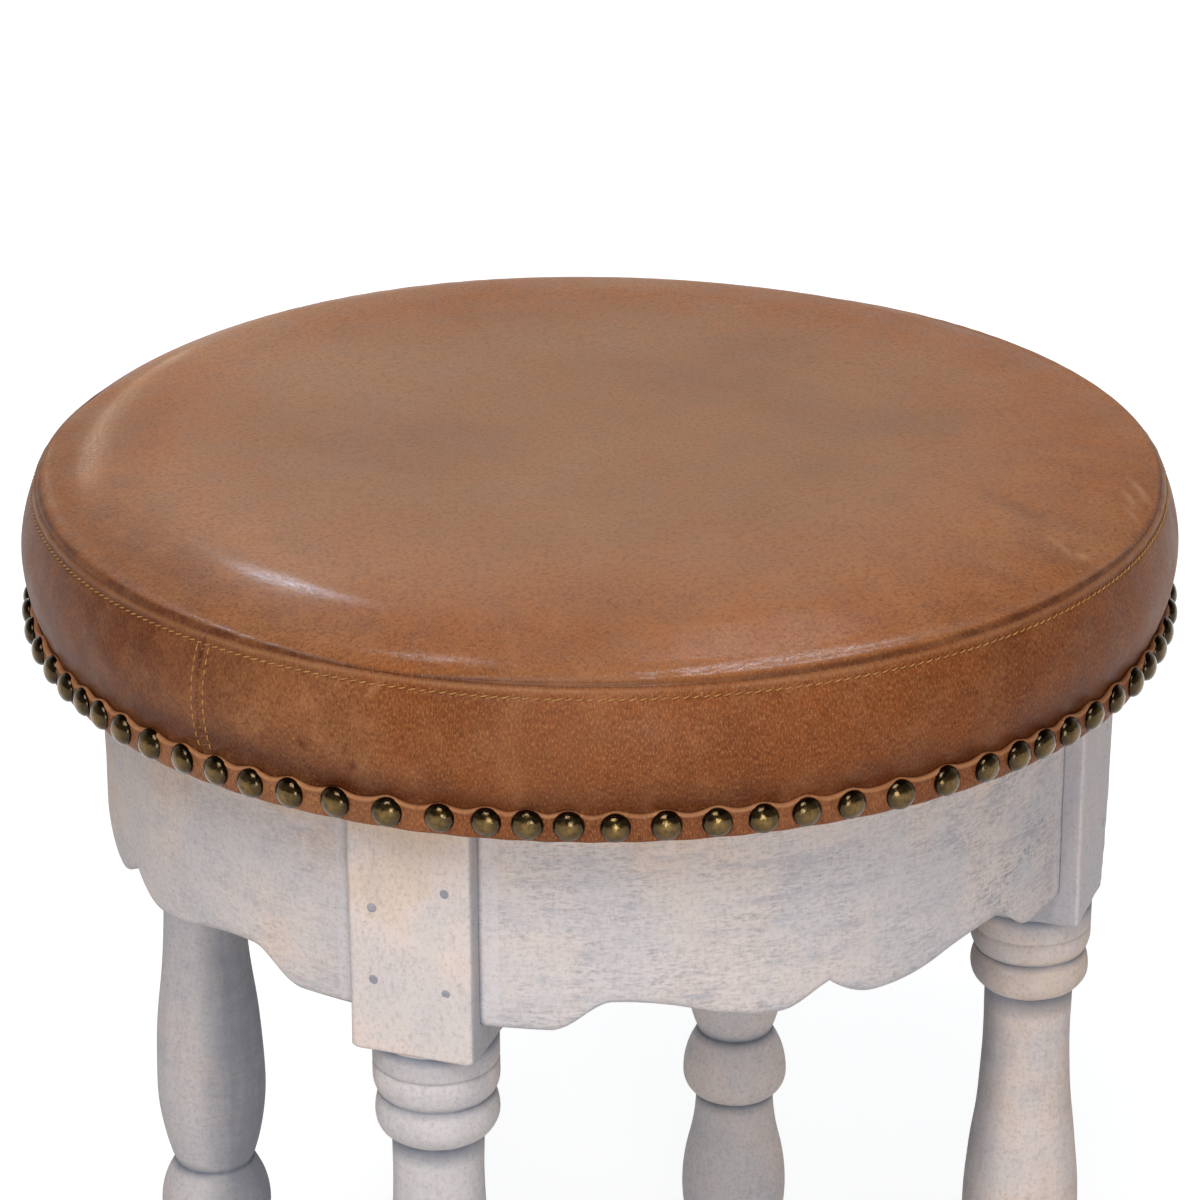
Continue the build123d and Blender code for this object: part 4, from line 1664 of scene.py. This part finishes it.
@dataclass(frozen=True)
class Lamp:
    """A soft lamp that faces the seat: angles in degrees, sizes in metres, power in watts."""

    name: str
    bearing: float
    elevation: float
    reach: float
    size: tuple[float, float]
    power: float
    colour: tuple[float, float, float] = (1.0, 1.0, 1.0)
    roll: float = 0.0
    target: float = 0.35

    def build(self) -> None:
        """Adds the lamp."""
        data = bpy.data.lights.new(self.name, "AREA")
        data.shape = "RECTANGLE"
        data.size, data.size_y = self.size
        data.energy = self.power
        data.color = self.colour
        lamp = new_object(self.name, data)
        away = direction(self.bearing, self.elevation)
        facing = away.to_track_quat("Z", "Y").to_matrix().to_4x4() @ Matrix.Rotation(math.radians(self.roll), 4, "Z")
        lamp.matrix_world = Matrix.Translation(Vector((0, 0, self.target)) + away * self.reach) @ facing


LAMPS = (
    Lamp("key", -130.0, 52.0, 2.3, (1.0, 1.0), 28.0, (1.0, 0.97, 0.93)),
    Lamp("fill", -109.0, 3.0, 2.6, (0.8, 0.8), 17.0),
    Lamp("high_window", 77.0, 34.0, 3.0, (0.2, 0.19), 2.9, (0.56, 0.77, 1.0)),
    Lamp("low_window", 81.0, 16.0, 3.0, (0.07, 0.9), 2.0, (1.0, 0.84, 0.62), -26.0),
    Lamp("right_skylight", 55.0, 48.5, 2.4, (0.34, 0.5), 4.8, (0.74, 0.87, 1.0)),
    Lamp("left_skylight", 82.0, 58.0, 2.4, (0.3, 0.2), 1.6, (0.8, 0.9, 1.0)),
)


@dataclass
class Studio:
    """Camera, lamps, floor and white surroundings; angles in degrees, lengths in metres, roll in radians."""

    pixels: int = 1200
    focal_pixels: float = 4226.0
    sensor: float = 36.0
    distance: float = 1.501
    azimuth: float = -115.1
    elevation: float = 22.75
    roll: float = -0.004
    aim_drop: float = 0.00128
    floor_reach: float = 12.0
    floor_grey: float = 0.62
    floor_glow: Ramp = Ramp(0.4, 2.6, 0.66, 0.8)
    ambient: float = 0.4
    backdrop: Ramp = Ramp(0.46, 0.74, 0.74, 0.13)
    room: Ramp = Ramp(-0.3, 0.6, 0.3, 1.0)
    mirrored_white: Colour = (1.0, 0.97, 0.9, 1.0)

    def camera(self) -> None:
        """Places the camera where the photo was taken from."""
        centre = Vector((0, 0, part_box("leather_strip")[0][2]))
        back, right = direction(self.azimuth, self.elevation), direction(self.azimuth + 90, 0.0)
        up = back.cross(right)
        tilted = right * math.cos(self.roll) + up * math.sin(self.roll)
        data = bpy.data.cameras.new("photo_camera")
        data.sensor_width = self.sensor
        data.lens = self.focal_pixels / self.pixels * data.sensor_width
        camera = new_object("photo_camera", data)
        matrix = Matrix((tilted, back.cross(tilted), back)).transposed().to_4x4()
        matrix.translation = centre + back * self.distance - up * self.aim_drop
        camera.matrix_world = matrix
        bpy.context.scene.camera = camera

    def floor(self) -> None:
        """Adds the pale floor, whose own faint glow lets it reach white in sight and keeps the stool's shadow."""
        material, graph = new_material("pale_floor")
        away = graph.node("ShaderNodeVectorMath", {0: graph.place()}, operation="LENGTH").outputs["Value"]
        rays = graph.node("ShaderNodeLightPath").outputs
        seen = graph.math("MAXIMUM", rays["Is Camera Ray"], rays["Is Glossy Ray"])
        seen = graph.math("MAXIMUM", seen, rays["Is Transmission Ray"])
        grey, reach = self.floor_grey, self.floor_reach
        graph.surface(Base_Color=(grey, grey, grey, 1.0), Roughness=0.9, Specular_IOR_Level=0.1, Emission_Color=WHITE,
                      Emission_Strength=graph.times(seen, graph.span(away, self.floor_glow)))
        mesh = bpy.data.meshes.new("floor")
        mesh.from_pydata([(-reach, -reach, 0), (reach, -reach, 0), (reach, reach, 0), (-reach, reach, 0)], [],
                         [[0, 1, 2, 3]])
        mesh.materials.append(material)
        floor = new_object("floor", mesh)

    def world(self) -> None:
        """Surrounds the scene with white; in reflections the ceiling and the camera's side of the room are dim."""
        world = bpy.data.worlds.new("white_room")
        world.use_nodes = True
        graph = Graph(world.node_tree)
        rays = graph.node("ShaderNodeLightPath").outputs
        ray = graph.node("ShaderNodeTexCoord").outputs["Generated"]
        lift = graph.node("ShaderNodeSeparateXYZ", {0: ray}).outputs["Z"]
        behind = graph.node("ShaderNodeVectorMath", {0: ray, 1: direction(self.azimuth + 180, 0.0)},
                            operation="DOT_PRODUCT").outputs["Value"]
        walls = graph.times(graph.span(lift, self.backdrop), graph.span(behind, self.room))
        mirrored = graph.math("MAXIMUM", rays["Is Glossy Ray"], rays["Is Transmission Ray"])
        strength = graph.between(mirrored, self.ambient, walls)
        strength = graph.between(rays["Is Camera Ray"], strength, 1.0)
        colour = graph.mix(mirrored, WHITE, self.mirrored_white)
        shade = graph.node("ShaderNodeBackground", {"Color": colour, "Strength": strength})
        graph.node("ShaderNodeOutputWorld", {"Surface": shade.outputs[0]})
        bpy.context.scene.world = world

    def build(self) -> None:
        """Sets up the whole studio."""
        self.camera()
        self.floor()
        self.world()
        for lamp in LAMPS:
            lamp.build()
        bpy.context.scene.view_settings.view_transform = "Standard"


LEG_CHANGES = {
    Corner.FRONT_LEFT: {"dust_and_shade": 0.6},
    Corner.FRONT_RIGHT: {"dust_and_shade": 0.5, "warmth": 0.8, "shaft_shade": 0.08, "painted": 0.9, "worn_reach": 21.8,
                         "neck": (15.3, 251.5), "ring": (15.7, 265.3), "cove": (19.2, 280.3)},
    Corner.BACK_RIGHT: {"warmth": 0.35, "shaft_shade": 0.0, "lower_neck": (15.9, 106.5), "waist": (15.0, 135.5)},
    Corner.BACK_LEFT: {"dust_and_shade": 0.6, "shaft_shade": 0.14},
}
APRON_CHANGES = {Side.LEFT: {"shade": 0.08, "warmth": 0.55, "rubbed": 0.5}}


def build_frame(grain: Tree) -> None:
    """Makes the legs, their pegs and the aprons, and dresses the board and blocks that stay as CAD nodes.

    Args:
        grain: The shared wood grain.
    """
    white = Whitewash().make(grain)
    pegs = RawWood("peg_wood", rgb(172, 168, 174), rgb(132, 134, 146)).make(grain)
    painted_pegs = RawWood("painted_peg_wood", rgb(206, 203, 208), rgb(184, 184, 192)).make(grain)
    bare = RawWood("raw_wood", rgb(206, 178, 142), rgb(178, 146, 108)).make(grain)
    for corner, changes in LEG_CHANGES.items():
        TurnedLeg(corner, **changes).build(white)
        PegHeads(corner).build(painted_pegs if corner is Corner.FRONT_RIGHT else pegs)
    for side in Side:
        ScallopedApron(side, **APRON_CHANGES.get(side, {})).build(white)
    for name in ["seat_board"] + [f"glue_block_{side.node}" for side in Side]:
        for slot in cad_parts[name].material_slots:
            slot.material = bare


def build_seat(hide: Tree) -> None:
    """Makes the leather cover, its nails and its stitches.

    Args:
        hide: The shared leather grain.
    """
    plan, nails = SeatPlan.from_frame(), NailRow()
    cover, stitching = SeatCover(plan), Stitching(plan)
    cover.top(TanLeather("leather_panel").make(hide))
    cover.band(TanLeather("leather_band", tan=rgb(141, 77, 38), dark=rgb(76, 33, 13), polish=0.25).make(hide))
    cover.strip(nails, TanLeather("leather_trim", tan=rgb(141, 80, 46), dark=rgb(80, 40, 22), polish=0.4).make(hide))
    nails.build(plan, AntiqueBrass().make())
    gold = Thread("gold_thread", rgb(182, 134, 78), rgb(140, 96, 52)).make()
    brown = Thread("brown_thread", rgb(160, 108, 80), rgb(104, 64, 42)).make()
    stitching.top_row(gold)
    stitching.joint_rows(gold)
    stitching.joint_middle(brown)
    stitching.seam_row(brown)


def main() -> None:
    """Builds every piece of the stool and the studio round it."""
    logging.basicConfig(level=logging.INFO, format="%(name)s: %(message)s")
    build_frame(WoodGrain().make())
    build_seat(HideGrain().make())
    Studio().build()


if __name__ == "__main__":
    main()
